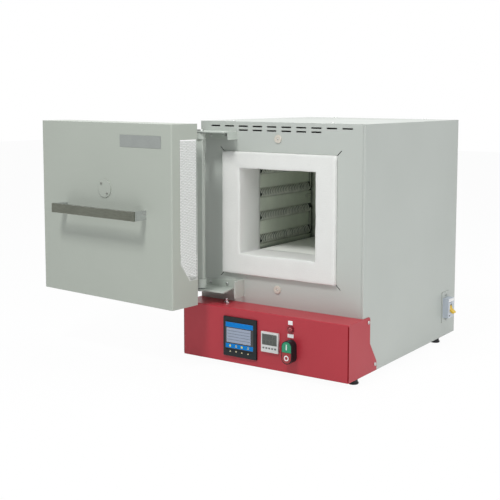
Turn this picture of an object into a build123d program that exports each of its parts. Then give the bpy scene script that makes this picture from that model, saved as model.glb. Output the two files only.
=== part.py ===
from build123d import *
import math
import os

os.makedirs("parts", exist_ok=True)

# Chamber furnace with a door that swings out on an arm and stays parallel to the front.
# All sizes are in millimetres. The origin is on the bench, in the middle of the front left
# foot's pad; +Z is up, +X to the right and the front looks along -Y.
# The sizes below are measured in the body's own frame: x from the middle of the body, depths
# from the front panel, and heights from the underside of the base tray, on top of the feet.
# The door has a frame of its own at its pivot pin, and so has the arm.

# ---------------------------------------------------------------- driving sizes
sheet = 1.5
fit_gap = 0.3
pin_clearance = 0.05
overcut = 1.0
plane_band = 0.1

# console and instruments
console_height = 134.0
console_reach = 70.0
console_flange_top = 32.0
console_flange_bottom = 66.0
console_slope_low = 22.0
console_slope_high = 71.0
console_corner = 7.0
fold_radius = 2.0
flange_screw_edge = 8.5
flange_screw_top = 12.0
flange_screw_low = 16.5
flange_screw_radius = 4.2
flange_screw_head = 2.4
panel_margin_x = 40.0
panel_margin_z = 25.0

controller_x = -60.6
controller_z = 65.0
controller_size = 96.0
controller_body = 90.0
controller_behind = 58.0
timer_x = 25.6
timer_z = 66.2
timer_size = 48.0
timer_body = 44.0
timer_behind = 52.0
timer_bezel = 6.0
bezel = 5.0
bezel_edge = 1.0
glass_share = 0.6
screen_depth = 1.2
screen_width = 76.0
screen_height = 71.0
screen_rise = 3.0
seat_gap = 0.1
window_width = 41.0
window_height = 26.0
window_rise = 6.5

lamp_x = 81.3
lamp_z = 104.0
lamp_radius = 8.5
lamp_rim = 2.5
lamp_stem = 6.0
lamp_behind = 20.0
lens_radius = 6.4
lens_reach = 7.5
lens_round = 0.3

button_x = 83.4
button_z = 54.0
button_stem = 11.0
button_behind = 30.0
housing_width = 28.0
housing_height = 54.0
housing_reach = 22.0
rim = 1.5
well_depth = 10.4
button_thickness = 8.0
button_proud = 0.6

switch_x = -135.0
switch_y = -25.0
barrel_radius = 4.5
barrel_below = 28.0
nut_radius = 7.0
nut_height = 2.0
thread_proud = 0.5
plunger_round = 0.7
plunger_radius = 3.0
plunger_free = 11.0
plunger_length = 24.0

# chamber, from the inside out
opening_width = 215.0
opening_height = 209.0
collar_cheek = 52.5
collar_sill = 51.0
collar_head = 40.0
collar_lift = 71.0
collar_proud = 10.0
collar_depth = 80.0
fibre_edge = 1.5
chamber_depth = 260.0
back_slab = 50.0
ridge_step = 6.5
roof_step = 11.0
hearth_thickness = 12.0
jacket_thickness = 40.0
jacket_rear = 48.0
jacket_space = 2.0
deck_lip = 20.0

tube_radius = 10.0
tube_bore = 6.5
tube_sink = 8.0
coil_radius = 14.5
coil_margin = 7.0
coil_rows = 4
coil_over_hearth = 22.0
coil_under_roof = 21.0
hearth_side_gap = 2.0

thermocouple_radius = 4.0
thermocouple_reach = 42.0
thermocouple_drop = 35.0
thermocouple_head_radius = 14.0
thermocouple_head = 24.0

# body
body_margin = 72.0
body_depth = 528.0
head_space = 73.0
edge_lip = 5.5
rear_lip = 14.0
panel_return = 14.0
tray_lip = 12.0
cover_lip = 12.0
cover_lip_inset = 30.0

foot_height = 15.0
foot_radius = 12.5
foot_inset = 16.0
front_foot_y = -14.0
rear_foot_inset = 88.0

top_screw_inset = 92.0
top_screw_front = 12.0
top_screw_rear_inset = 13.0
top_screw_radius = 4.5
top_screw_head = 2.2

slot_length = 27.0
slot_height = 3.5
slot_pitch = 41.3
slot_count = 10
slots_left_out = 2
upper_slot_drop = 11.5
slot_row_gap = 9.5
slit_length = 16.0
slit_width = 2.0
rear_slot_length = 34.0
rear_slot_width = 5.0
rear_slot_pitch = 26.0
rear_slot_count = 9
rear_slots_low = 60.0
rear_slots_drop = 58.0
gland_x = 170.0
gland_z = 72.0
gland_radius = 12.5
gland_body = 13.0
gland_hexagon = 16.0
gland_nut = 15.5
gland_nut_height = 6.0
gland_reach = 22.0
gland_bore = 6.0

stop_radius = 10.0
stop_thickness = 3.0
stop_above_collar = 33.4
stop_below_collar = 28.6
stop_x = -1.8

breaker_width = 36.0
breaker_height = 52.0
breaker_rear_inset = 46.0
breaker_low = 52.0
breaker_proud = 18.0
breaker_inside = 45.0
breaker_frame = 2.0
breaker_frame_side = 5.0
breaker_frame_low = 13.0
breaker_frame_high = 16.0
breaker_screw_radius = 3.6
breaker_screw_head = 2.2
toggle_hub = 6.0
toggle_sink = 6.5
toggle_width = 15.0
toggle_reach = 19.0
toggle_thickness = 5.0
toggle_angle = -38.0
toggle_gap = 0.4
toggle_slot = 22.0

contactor_x = -37.5
contactor_y = 288.0
contactor_width = 45.0
contactor_foot = (76.0, 28.5)
contactor_block = (52.0, 46.0)
contactor_top = (28.0, 12.0)
relay_x = 80.0
relay_y = 285.0
relay_base = (80.0, 90.0, 4.5)
fin_count = 8
fin_pitch = 10.0
fin_thickness = 2.5
fin_height = 30.0
relay_block = (46.0, 58.0, 24.0)

# hinge and swing arm
bar_width = 18.0
pivot_inset = 34.0
pivot_out = 46.0
door_pivot_out = 16.0
open_swing = 172.54
open_door_angle = -5.13
post_size = 18.0
post_corner = 2.0
pin_radius = 5.0
pin_head_radius = 8.5
pin_head = 4.0
pin_engagement = 24.0
pin_end = 2.0
washer_thickness = 1.7
washer_radius = 10.0
knee_along = 95.0
knee_aside = -24.0
eye_radius = 12.0
upper_arm_height = 14.0
lower_arm_height = 22.0

bracket_plate = 3.0
upper_plate_drop = 27.0
lower_plate_rise = 29.0
plate_reach = 59.0
plate_inset = 16.0
plate_corner = 12.0
plate_wall_length = 85.0
plate_front_length = 97.0
upper_web_length = 95.0
lower_web_length = 116.0
upper_web_drop = 17.0
lower_web_drop = 14.0
lower_web_rise_left = 17.0
lower_web_rise_right = 28.0
web_thickness = 2.5
flange_reach = 38.0
bracket_screw_radius = 4.0
bracket_screw_head = 2.4
bracket_screw_near = 16.0
bracket_screw_far = 66.0
upper_screw_drop = 8.0
lower_screw_rise = 12.0

# door
door_front = -74.0
door_thickness = 86.5
door_over_console = 5.6
door_under_top = 4.0
door_fold = 3.0
side_return = 28.0
window_top_margin = 37.0
window_bottom_margin = 62.0
window_slope_y = 31.0
window_slope_z = 42.0
hole_size = 12.0
hole_pitch = 18.0
hole_margin = 5.0
carrier_side = 17.0
carrier_below = 5.0
carrier_above = 7.0
carrier_sheet = 1.5
carrier_edge = 3.0
boss_clearance = 5.0
boss_height = 8.0
lug_half = 40.0
lug_sheet = 3.0
lug_web_y = -50.0
lug_foot = 34.0
lug_eye_margin = 1.0

handle_length = 296.0
handle_height = 23.0
handle_thickness = 6.0
handle_standoff = 36.0
handle_over_opening = 102.0
handle_leg = 12.0
leg_inset = 0.5
cap_x = 4.0
cap_above_handle = 55.0
cap_radius = 22.5
cap_thickness = 2.0
cap_screw_x = 10.0
cap_screw_z = 12.0
cap_screw_radius = 3.0
cap_screw_head = 1.5
screw_edge = 0.7

# ---------------------------------------------------------------- heights and depths that follow
collar_width = opening_width + 2 * collar_cheek
collar_half = collar_width / 2
opening_half = opening_width / 2
collar_bottom = console_height + collar_lift
opening_bottom = collar_bottom + collar_sill
opening_top = opening_bottom + opening_height
collar_top = opening_top + collar_head
collar_mid = (collar_bottom + collar_top) / 2
body_height = collar_top + head_space
body_width = collar_width + 2 * body_margin
half = body_width / 2
chamber_back = collar_depth + chamber_depth
ridge_x = opening_half + ridge_step
roof_z = opening_top + roof_step
tube_axis_x = ridge_x + tube_sink
coil_low_z = opening_bottom + coil_over_hearth
coil_pitch = (roof_z - coil_under_roof - coil_low_z) / (coil_rows - 1)
upper_plate_z = body_height - upper_plate_drop
lower_plate_z = console_height + lower_plate_rise
pivot_x = -half + pivot_inset
door_bottom = console_height + door_over_console
door_top = body_height - door_under_top
carrier_half = collar_half + carrier_side
carrier_bottom = collar_bottom - carrier_below
carrier_top = collar_top + carrier_above
handle_z = opening_bottom + handle_over_opening
cap_z = handle_z + cap_above_handle
foot_x = half - foot_inset
rear_foot_y = body_depth - rear_foot_inset

# ---------------------------------------------------------------- frames of reference
front_y = -front_foot_y
body = Plane(origin=(foot_x, front_y, foot_height), x_dir=(1, 0, 0), z_dir=(0, 0, 1))

arm_rise = pivot_out - door_pivot_out
arm_length = math.hypot(pivot_x, arm_rise)
closed_angle = math.degrees(math.atan2(arm_rise, -pivot_x))
open_angle = math.radians(closed_angle - open_swing)
arm = Plane(
    origin=body.from_local_coords((pivot_x, -pivot_out, 0)),
    x_dir=(math.cos(open_angle), math.sin(open_angle), 0),
    z_dir=(0, 0, 1),
)
turned = math.radians(open_door_angle)
door = Plane(
    origin=arm.from_local_coords((arm_length, 0, 0)),
    x_dir=(math.cos(turned), math.sin(turned), 0),
    z_dir=(0, 0, 1),
)


def level(frame, z):
    """Horizontal plane of a frame at height z."""
    return frame.offset(z)


def facing(frame, y):
    """Upright plane across a frame at depth y, looking at the viewer; local y is height."""
    return Plane(frame.from_local_coords((0, y, 0)), x_dir=frame.x_dir, z_dir=-frame.y_dir)


def flank(frame, x):
    """Upright plane along a frame at x, looking along +x; local x is depth."""
    return Plane(frame.from_local_coords((x, 0, 0)), x_dir=frame.y_dir, z_dir=frame.x_dir)


def rectangle(plane, low_x, high_x, low_y, high_y):
    """Rectangle between four edges, drawn on a plane."""
    with BuildSketch(plane) as drawn:
        with Locations(((low_x + high_x) / 2, (low_y + high_y) / 2)):
            Rectangle(high_x - low_x, high_y - low_y)
    return drawn.sketch


def block(frame, low, high):
    """Face and height of a box between two corners, as arguments of extrude."""
    face = rectangle(level(frame, low[2]), low[0], high[0], low[1], high[1])
    return {"to_extrude": face, "amount": high[2] - low[2]}


def discs(plane, places, radius):
    """Equal circles at several places of a plane."""
    with BuildSketch(plane) as drawn:
        with Locations(*places):
            Circle(radius)
    return drawn.sketch


def outline(plane, points):
    """Closed straight-sided outline on a plane."""
    with BuildSketch(plane) as drawn:
        with BuildLine():
            Polyline(*points, close=True)
        make_face()
    return drawn.sketch


def save(piece, name):
    """Name a finished piece and write its STEP file."""
    piece.part.label = name
    export_step(piece.part, f"parts/{name}.step")


# ---------------------------------------------------------------- base and covers
tray_half = half - sheet - fit_gap
tray_front = -console_reach + sheet + fit_gap
tray_back = body_depth - sheet - fit_gap
foot_places = [(x, y) for x in (-foot_x, foot_x) for y in (front_foot_y, rear_foot_y)]

with BuildPart() as base_tray:
    extrude(**block(body, (-tray_half, tray_front, 0), (tray_half, tray_back, tray_lip)))
    extrude(
        **block(
            body,
            (-tray_half + sheet, tray_front + sheet, sheet),
            (tray_half - sheet, tray_back - sheet, tray_lip),
        ),
        mode=Mode.SUBTRACT,
    )
save(base_tray, "base_tray")

with BuildPart() as feet:
    extrude(discs(level(body, -foot_height), foot_places, foot_radius), amount=foot_height)
save(feet, "feet")

cover_top = body_height - sheet
panel_half = half - edge_lip - fit_gap
breaker_back = body_depth - breaker_rear_inset
breaker_front = breaker_back - breaker_width
breaker_high = breaker_low + breaker_height
breaker_mid = (breaker_front + breaker_back) / 2
breaker_cutout = (
    breaker_front - fit_gap,
    breaker_back + fit_gap,
    breaker_low - fit_gap,
    breaker_high + fit_gap,
)

for side_name, hand in (("side_cover_left", -1), ("side_cover_right", 1)):
    inner = sorted((hand * (half - sheet), hand * half))
    lip = sorted((hand * (half - edge_lip), hand * half))
    rear = sorted((hand * (half - rear_lip), hand * half))
    with BuildPart() as side_cover:
        extrude(**block(body, (inner[0], 0, 0), (inner[1], body_depth, cover_top)))
        extrude(**block(body, (lip[0], 0, tray_lip + fit_gap), (lip[1], sheet, cover_top)))
        extrude(**block(body, (rear[0], body_depth - sheet, 0), (rear[1], body_depth, cover_top)))
        fillet(
            side_cover.edges().filter_by(Axis.Z).filter_by_position(
                Axis.Y, front_y - plane_band, front_y + plane_band
            ).sort_by(Axis.X)[0 if hand < 0 else -1],
            radius=sheet * 0.9,
        )
        if hand > 0:
            breaker_hole = rectangle(flank(body, half - 2 * sheet), *breaker_cutout)
            extrude(breaker_hole, amount=3 * sheet, mode=Mode.SUBTRACT)
    save(side_cover, side_name)

top_screw_x = half - top_screw_inset
top_screw_back = body_depth - top_screw_rear_inset
screw_places = [(x, y) for x in (-top_screw_x, top_screw_x) for y in (top_screw_front, top_screw_back)]

with BuildPart() as top_cover:
    extrude(**block(body, (-half, 0, cover_top), (half, body_depth, body_height)))
    for hand in (-1, 1):
        edges = sorted((hand * (half - sheet - fit_gap), hand * (half - 2 * sheet - fit_gap)))
        extrude(
            **block(
                body,
                (edges[0], cover_lip_inset, cover_top - cover_lip),
                (edges[1], body_depth - cover_lip_inset, cover_top),
            )
        )
    fillet(top_cover.edges().group_by(Axis.Z)[-1], radius=sheet * 0.6)
save(top_cover, "top_cover")

with BuildPart() as top_screws:
    extrude(discs(level(body, body_height), screw_places, top_screw_radius), amount=top_screw_head)
save(top_screws, "top_screws")

# ---------------------------------------------------------------- front and rear panels
upper_slot_z = body_height - upper_slot_drop
lower_slot_z = upper_slot_z - slot_row_gap
slot_first = -slot_pitch * (slot_count - 1) / 2
upper_slots = [(slot_first + i * slot_pitch, upper_slot_z) for i in range(slot_count)]
lower_slots = [
    (slot_first + i * slot_pitch, lower_slot_z)
    for i in range(slots_left_out, slot_count - slots_left_out)
]
slit_reach = slit_length / 2 * math.cos(math.radians(45))

with BuildPart() as front_panel:
    extrude(**block(body, (-panel_half, 0, sheet), (panel_half, sheet, cover_top)))
    extrude(**block(body, (-panel_half, 0, cover_top - sheet), (panel_half, panel_return, cover_top)))
    with BuildSketch(facing(body, sheet * 2)) as openings:
        with Locations((0, collar_mid)):
            Rectangle(collar_width + 2 * fit_gap, collar_top - collar_bottom + 2 * fit_gap)
        with Locations(*upper_slots, *lower_slots):
            Rectangle(slot_length, slot_height)
        for across in (-1, 1):
            for up in (-1, 1):
                corner = (
                    across * (collar_half + slit_reach),
                    collar_mid + up * ((collar_top - collar_bottom) / 2 + slit_reach),
                )
                with Locations(corner):
                    Rectangle(slit_length, slit_width, rotation=45 * across * up)
        with Locations((0, console_height / 2)):
            Rectangle(body_width - 2 * panel_margin_x, console_height - 2 * panel_margin_z)
    extrude(amount=3 * sheet, mode=Mode.SUBTRACT)
save(front_panel, "front_panel")

rear_inner = half - rear_lip - fit_gap

with BuildPart() as rear_panel:
    extrude(**block(body, (-rear_inner, body_depth - sheet, sheet), (rear_inner, body_depth, cover_top)))
    extrude(
        **block(
            body,
            (-rear_inner, body_depth - panel_return, cover_top - sheet),
            (rear_inner, body_depth, cover_top),
        )
    )
    with BuildSketch(facing(body, body_depth + sheet)) as rear_openings:
        with Locations((0, body_height - rear_slots_drop), (0, rear_slots_low)):
            with GridLocations(rear_slot_pitch, 1, rear_slot_count, 1):
                Rectangle(rear_slot_width, rear_slot_length)
        with Locations((gland_x, gland_z)):
            Circle(gland_radius)
    extrude(amount=3 * sheet, mode=Mode.SUBTRACT)
save(rear_panel, "rear_panel")

gland_place = [(gland_x, gland_z)]
gland_end = body_depth + gland_reach
with BuildPart() as cable_gland:
    with BuildSketch(facing(body, body_depth + gland_nut_height)) as hexagon:
        with Locations(*gland_place):
            RegularPolygon(gland_hexagon, 6)
    extrude(amount=gland_nut_height)
    extrude(discs(facing(body, gland_end), gland_place, gland_body), amount=gland_end - body_depth - sheet)
    extrude(discs(facing(body, body_depth), gland_place, gland_radius), amount=sheet)
    extrude(discs(facing(body, body_depth - sheet), gland_place, gland_nut), amount=gland_nut_height)
    extrude(
        discs(facing(body, gland_end + overcut), gland_place, gland_bore),
        amount=gland_reach + 2 * gland_nut_height + overcut,
        mode=Mode.SUBTRACT,
    )
save(cable_gland, "cable_gland")

# ---------------------------------------------------------------- control console
console_outer = half + sheet + fit_gap / 2
console_inner = half + fit_gap / 2

with BuildPart() as console_housing:
    extrude(
        **block(
            body,
            (-console_outer, -console_reach, sheet * 0.5),
            (console_outer, console_flange_bottom, console_height),
        )
    )
    front_edges = console_housing.edges().filter_by_position(
        Axis.Y, front_y - console_reach - plane_band, front_y - console_reach + plane_band
    )
    fillet(front_edges.filter_by(Axis.Z) + front_edges.filter_by(Axis.X).sort_by(Axis.Z)[-1:], fold_radius)
    extrude(
        **block(
            body,
            (-console_inner, -console_reach + sheet, -overcut),
            (console_inner, console_flange_bottom + overcut, console_height - sheet),
        ),
        mode=Mode.SUBTRACT,
    )
    extrude(
        **block(
            body,
            (-console_inner, -fit_gap, console_height - 2 * sheet),
            (console_inner, console_flange_bottom + overcut, console_height + overcut),
        ),
        mode=Mode.SUBTRACT,
    )
    flange_trim = outline(
        flank(body, -console_outer - overcut),
        [
            (console_flange_top, console_height + overcut),
            (console_flange_top, console_slope_high),
            (console_flange_bottom, console_slope_low),
            (console_flange_bottom + overcut, console_slope_low),
            (console_flange_bottom + overcut, console_height + overcut),
        ],
    )
    extrude(flange_trim, amount=2 * (console_outer + overcut), mode=Mode.SUBTRACT)
    high_corners = console_housing.edges().filter_by(Axis.X).filter_by_position(
        Axis.Y, front_y + console_flange_top - plane_band, front_y + console_flange_top + plane_band
    ).group_by(Axis.Z)[-1]
    fillet(high_corners, console_corner)
    with BuildSketch(facing(body, -console_reach + 2 * sheet)) as cutouts:
        with Locations((controller_x, controller_z)):
            Rectangle(controller_body + 2 * fit_gap, controller_body + 2 * fit_gap)
        with Locations((timer_x, timer_z)):
            Rectangle(timer_body + 2 * fit_gap, timer_body + 2 * fit_gap)
        with Locations((lamp_x, lamp_z)):
            Circle(lamp_stem + fit_gap)
        with Locations((button_x, button_z)):
            Circle(button_stem + fit_gap)
    extrude(amount=3 * sheet, mode=Mode.SUBTRACT)
    extrude(
        discs(level(body, console_height - 2 * sheet), [(switch_x, switch_y)], barrel_radius + fit_gap),
        amount=3 * sheet,
        mode=Mode.SUBTRACT,
    )
save(console_housing, "console_housing")

flange_screws = [
    (console_flange_top - flange_screw_edge, console_height - flange_screw_top),
    (console_flange_bottom - flange_screw_edge, flange_screw_low),
]
with BuildPart() as console_screws:
    for start in (console_outer, -console_outer - flange_screw_head):
        extrude(discs(flank(body, start), flange_screws, flange_screw_radius), amount=flange_screw_head)
save(console_screws, "console_screws")

controller_front = -console_reach - bezel
screen_z = controller_z + screen_rise

with BuildPart() as controller_case:
    extrude(
        rectangle(
            facing(body, -console_reach),
            controller_x - controller_size / 2,
            controller_x + controller_size / 2,
            controller_z - controller_size / 2,
            controller_z + controller_size / 2,
        ),
        amount=bezel,
    )
    fillet(controller_case.edges().group_by(Axis.Y)[0], radius=bezel_edge)
    extrude(
        rectangle(
            facing(body, -console_reach + controller_behind),
            controller_x - controller_body / 2,
            controller_x + controller_body / 2,
            controller_z - controller_body / 2,
            controller_z + controller_body / 2,
        ),
        amount=controller_behind,
    )
    extrude(
        rectangle(
            facing(body, controller_front + screen_depth),
            controller_x - screen_width / 2 - seat_gap,
            controller_x + screen_width / 2 + seat_gap,
            screen_z - screen_height / 2 - seat_gap,
            screen_z + screen_height / 2 + seat_gap,
        ),
        amount=screen_depth,
        mode=Mode.SUBTRACT,
    )
save(controller_case, "controller_case")

with BuildPart() as controller_display:
    extrude(
        rectangle(
            facing(body, controller_front + screen_depth),
            controller_x - screen_width / 2,
            controller_x + screen_width / 2,
            screen_z - screen_height / 2,
            screen_z + screen_height / 2,
        ),
        amount=screen_depth * glass_share,
    )
save(controller_display, "controller_display")

timer_front = -console_reach - timer_bezel
window_z = timer_z + window_rise

with BuildPart() as timer_case:
    extrude(
        rectangle(
            facing(body, -console_reach),
            timer_x - timer_size / 2,
            timer_x + timer_size / 2,
            timer_z - timer_size / 2,
            timer_z + timer_size / 2,
        ),
        amount=timer_bezel,
    )
    fillet(timer_case.edges().group_by(Axis.Y)[0], radius=bezel_edge)
    extrude(
        rectangle(
            facing(body, -console_reach + timer_behind),
            timer_x - timer_body / 2,
            timer_x + timer_body / 2,
            timer_z - timer_body / 2,
            timer_z + timer_body / 2,
        ),
        amount=timer_behind,
    )
    extrude(
        rectangle(
            facing(body, timer_front + screen_depth),
            timer_x - window_width / 2 - seat_gap,
            timer_x + window_width / 2 + seat_gap,
            window_z - window_height / 2 - seat_gap,
            window_z + window_height / 2 + seat_gap,
        ),
        amount=screen_depth,
        mode=Mode.SUBTRACT,
    )
save(timer_case, "timer_case")

with BuildPart() as timer_window:
    extrude(
        rectangle(
            facing(body, timer_front + screen_depth),
            timer_x - window_width / 2,
            timer_x + window_width / 2,
            window_z - window_height / 2,
            window_z + window_height / 2,
        ),
        amount=screen_depth * glass_share,
    )
save(timer_window, "timer_window")

lamp_place = [(lamp_x, lamp_z)]
with BuildPart() as lamp_bezel:
    extrude(discs(facing(body, -console_reach), lamp_place, lamp_radius), amount=lamp_rim)
    extrude(
        discs(facing(body, -console_reach), lamp_place, lens_radius + seat_gap),
        amount=lamp_rim,
        mode=Mode.SUBTRACT,
    )
save(lamp_bezel, "lamp_bezel")

with BuildPart() as lamp_lens:
    extrude(discs(facing(body, -console_reach), lamp_place, lens_radius), amount=lens_reach)
    chamfer(lamp_lens.edges().group_by(Axis.Y)[0], lens_reach * lens_round)
    extrude(discs(facing(body, -console_reach + lamp_behind), lamp_place, lamp_stem), amount=lamp_behind)
save(lamp_lens, "lamp_lens")

button_face_y = -console_reach - housing_reach - button_proud

with BuildPart() as button_housing:
    with BuildSketch(facing(body, -console_reach)) as shell:
        with Locations((button_x, button_z)):
            SlotOverall(housing_height, housing_width, rotation=90)
    extrude(amount=housing_reach)
    with BuildSketch(facing(body, -console_reach - housing_reach + well_depth)) as well:
        with Locations((button_x, button_z)):
            SlotOverall(housing_height - 2 * rim, housing_width - 2 * rim, rotation=90)
    extrude(amount=well_depth, mode=Mode.SUBTRACT)
    extrude(
        discs(facing(body, -console_reach + button_behind), [(button_x, button_z)], button_stem),
        amount=button_behind,
    )
save(button_housing, "button_housing")

for button_name, up in (("start_button", 1), ("stop_button", -1)):
    cut = sorted((button_z + up * fit_gap, button_z + up * housing_height))
    with BuildPart() as button:
        with BuildSketch(facing(body, button_face_y + button_thickness)) as cap:
            with Locations((button_x, button_z)):
                SlotOverall(
                    housing_height - 2 * rim - 2 * fit_gap,
                    housing_width - 2 * rim - 2 * fit_gap,
                    rotation=90,
                )
            with Locations((button_x, (cut[0] + cut[1]) / 2)):
                Rectangle(housing_width, cut[1] - cut[0], mode=Mode.INTERSECT)
        extrude(amount=button_thickness)
        fillet(button.edges().group_by(Axis.Y)[0], radius=button_proud)
    save(button, button_name)

# ---------------------------------------------------------------- door switch on the console
barrel_low = console_height - barrel_below
barrel_top = console_height + nut_height + thread_proud
switch_place = [(switch_x, switch_y)]
with BuildPart() as switch_barrel:
    extrude(discs(level(body, barrel_low), switch_place, barrel_radius), amount=barrel_top - barrel_low)
    with BuildSketch(level(body, console_height)) as nut:
        with Locations(*switch_place):
            RegularPolygon(nut_radius, 6)
    extrude(amount=nut_height)
    extrude(
        discs(level(body, barrel_low - overcut), switch_place, plunger_radius + pin_clearance),
        amount=barrel_top - barrel_low + 2 * overcut,
        mode=Mode.SUBTRACT,
    )
save(switch_barrel, "switch_barrel")

plunger_low = console_height + plunger_free - plunger_length
with BuildPart() as switch_plunger:
    extrude(discs(level(body, plunger_low), switch_place, plunger_radius), amount=plunger_length)
    fillet(switch_plunger.edges().group_by(Axis.Z)[-1], radius=plunger_radius * plunger_round)
save(switch_plunger, "switch_plunger")

# ---------------------------------------------------------------- circuit breaker
breaker_face = half + breaker_proud
toggle_x = breaker_face - toggle_sink
toggle_z = (breaker_low + breaker_high) / 2
toggle_slot_half = toggle_width / 2 + toggle_gap

with BuildPart() as breaker_body:
    extrude(
        **block(
            body,
            (half - breaker_inside, breaker_front, breaker_low),
            (breaker_face, breaker_back, breaker_high),
        )
    )
    extrude(
        **block(
            body,
            (toggle_x, breaker_mid - toggle_slot_half, toggle_z - toggle_slot / 2),
            (breaker_face + overcut, breaker_mid + toggle_slot_half, toggle_z + toggle_slot / 2),
        ),
        mode=Mode.SUBTRACT,
    )
    extrude(
        discs(facing(body, breaker_mid + toggle_slot_half), [(toggle_x, toggle_z)], toggle_hub + fit_gap),
        amount=2 * toggle_slot_half,
        mode=Mode.SUBTRACT,
    )
save(breaker_body, "breaker_body")

with BuildPart() as breaker_toggle:
    lean = math.radians(toggle_angle)
    with BuildSketch(facing(body, breaker_mid + toggle_width / 2)) as lever:
        with Locations((toggle_x, toggle_z)):
            Circle(toggle_hub)
        middle = (
            toggle_x + math.cos(lean) * toggle_reach / 2,
            toggle_z + math.sin(lean) * toggle_reach / 2,
        )
        with Locations(middle):
            SlotCenterToCenter(toggle_reach, toggle_thickness, rotation=toggle_angle)
    extrude(amount=toggle_width)
save(breaker_toggle, "breaker_toggle")

frame_low = breaker_low - breaker_frame_low
frame_high = breaker_high + breaker_frame_high
breaker_screws = [
    (breaker_mid, (frame_low + breaker_low) / 2),
    (breaker_mid, (frame_high + breaker_high) / 2),
]
with BuildPart() as breaker_bezel:
    extrude(
        rectangle(
            flank(body, half),
            breaker_front - breaker_frame_side,
            breaker_back + breaker_frame_side,
            frame_low,
            frame_high,
        ),
        amount=breaker_frame,
    )
    extrude(rectangle(flank(body, half), *breaker_cutout), amount=breaker_frame, mode=Mode.SUBTRACT)
    extrude(
        discs(flank(body, half + breaker_frame), breaker_screws, breaker_screw_radius),
        amount=breaker_screw_head,
    )
save(breaker_bezel, "breaker_bezel")

# ---------------------------------------------------------------- hot chamber
with BuildPart() as collar:
    extrude(
        **block(
            body,
            (-collar_half, -collar_proud, collar_bottom),
            (collar_half, collar_depth, collar_top),
        )
    )
    extrude(
        **block(
            body,
            (-opening_half, -collar_proud - overcut, opening_bottom),
            (opening_half, collar_depth + overcut, opening_top),
        ),
        mode=Mode.SUBTRACT,
    )
    fillet(collar.edges().group_by(Axis.Y)[0], radius=fibre_edge)
save(collar, "collar")

coil_heights = [coil_low_z + row * coil_pitch for row in range(coil_rows)]
groove_radius = coil_radius + fit_gap
coil_places = [(hand * tube_axis_x, z) for hand in (-1, 1) for z in coil_heights]

for lining_name, hand in (("lining_left", -1), ("lining_right", 1)):
    edges = sorted((hand * ridge_x, hand * collar_half))
    with BuildPart() as lining_wall:
        extrude(**block(body, (edges[0], collar_depth, collar_bottom), (edges[1], chamber_back, collar_top)))
        grooves = discs(
            facing(body, chamber_back), [(hand * tube_axis_x, z) for z in coil_heights], groove_radius
        )
        extrude(grooves, amount=chamber_back - collar_depth, mode=Mode.SUBTRACT)
    save(lining_wall, lining_name)

with BuildPart() as lining_roof:
    extrude(**block(body, (-ridge_x, collar_depth, roof_z), (ridge_x, chamber_back, collar_top)))
save(lining_roof, "lining_roof")

with BuildPart() as lining_floor:
    extrude(
        **block(
            body,
            (-ridge_x, collar_depth, collar_bottom),
            (ridge_x, chamber_back, opening_bottom - hearth_thickness),
        )
    )
save(lining_floor, "lining_floor")

hearth_half = tube_axis_x - coil_radius - hearth_side_gap
with BuildPart() as hearth_plate:
    extrude(
        **block(
            body,
            (-hearth_half, collar_depth + fit_gap, opening_bottom - hearth_thickness),
            (hearth_half, chamber_back - fit_gap, opening_bottom),
        )
    )
    fillet(hearth_plate.edges().group_by(Axis.Z)[-1], radius=fibre_edge)
save(hearth_plate, "hearth_plate")

lining_rear = chamber_back + back_slab
probe_place = [(0, opening_top - thermocouple_drop)]

with BuildPart() as lining_back:
    extrude(
        **block(
            body,
            (-collar_half, chamber_back, collar_bottom),
            (collar_half, lining_rear, collar_top),
        )
    )
    extrude(
        discs(facing(body, lining_rear + overcut), probe_place, thermocouple_radius + fit_gap),
        amount=back_slab + 2 * overcut,
        mode=Mode.SUBTRACT,
    )
save(lining_back, "lining_back")

with BuildPart() as element_tubes:
    extrude(
        discs(facing(body, chamber_back - fit_gap), coil_places, tube_radius),
        amount=chamber_back - collar_depth - 2 * fit_gap,
    )
    extrude(
        discs(facing(body, chamber_back), coil_places, tube_bore),
        amount=chamber_back - collar_depth,
        mode=Mode.SUBTRACT,
    )
save(element_tubes, "element_tubes")

coil_front = collar_depth + coil_margin
coil_rear = chamber_back - coil_margin
with BuildPart() as heating_coils:
    extrude(discs(facing(body, coil_rear), coil_places, coil_radius), amount=coil_rear - coil_front)
    extrude(
        discs(facing(body, coil_rear + overcut), coil_places, tube_radius + fit_gap),
        amount=coil_rear - coil_front + 2 * overcut,
        mode=Mode.SUBTRACT,
    )
save(heating_coils, "heating_coils")

jacket_half = collar_half + jacket_thickness
jacket_low = collar_bottom - jacket_thickness
jacket_high = collar_top + jacket_thickness
jacket_front = panel_return + jacket_space
jacket_back = lining_rear + jacket_rear

with BuildPart() as insulation_blocks:
    for hand in (-1, 1):
        edges = sorted((hand * collar_half, hand * jacket_half))
        extrude(**block(body, (edges[0], jacket_front, collar_bottom), (edges[1], lining_rear, collar_top)))
    for front, low, back, high in (
        (jacket_front, jacket_low, jacket_back, collar_bottom),
        (jacket_front, collar_top, jacket_back, jacket_high),
        (lining_rear, collar_bottom, jacket_back, collar_top),
    ):
        extrude(**block(body, (-jacket_half, front, low), (jacket_half, back, high)))
    extrude(
        discs(facing(body, jacket_back + overcut), probe_place, thermocouple_radius + fit_gap),
        amount=jacket_rear + 2 * overcut,
        mode=Mode.SUBTRACT,
    )
save(insulation_blocks, "insulation_blocks")

with BuildPart() as thermocouple:
    probe_front = chamber_back - thermocouple_reach
    extrude(
        discs(facing(body, jacket_back), probe_place, thermocouple_radius), amount=jacket_back - probe_front
    )
    chamfer(thermocouple.edges().group_by(Axis.Y)[0], thermocouple_radius / 2)
    extrude(
        discs(facing(body, jacket_back + thermocouple_head), probe_place, thermocouple_head_radius),
        amount=thermocouple_head,
    )
save(thermocouple, "thermocouple")

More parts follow.
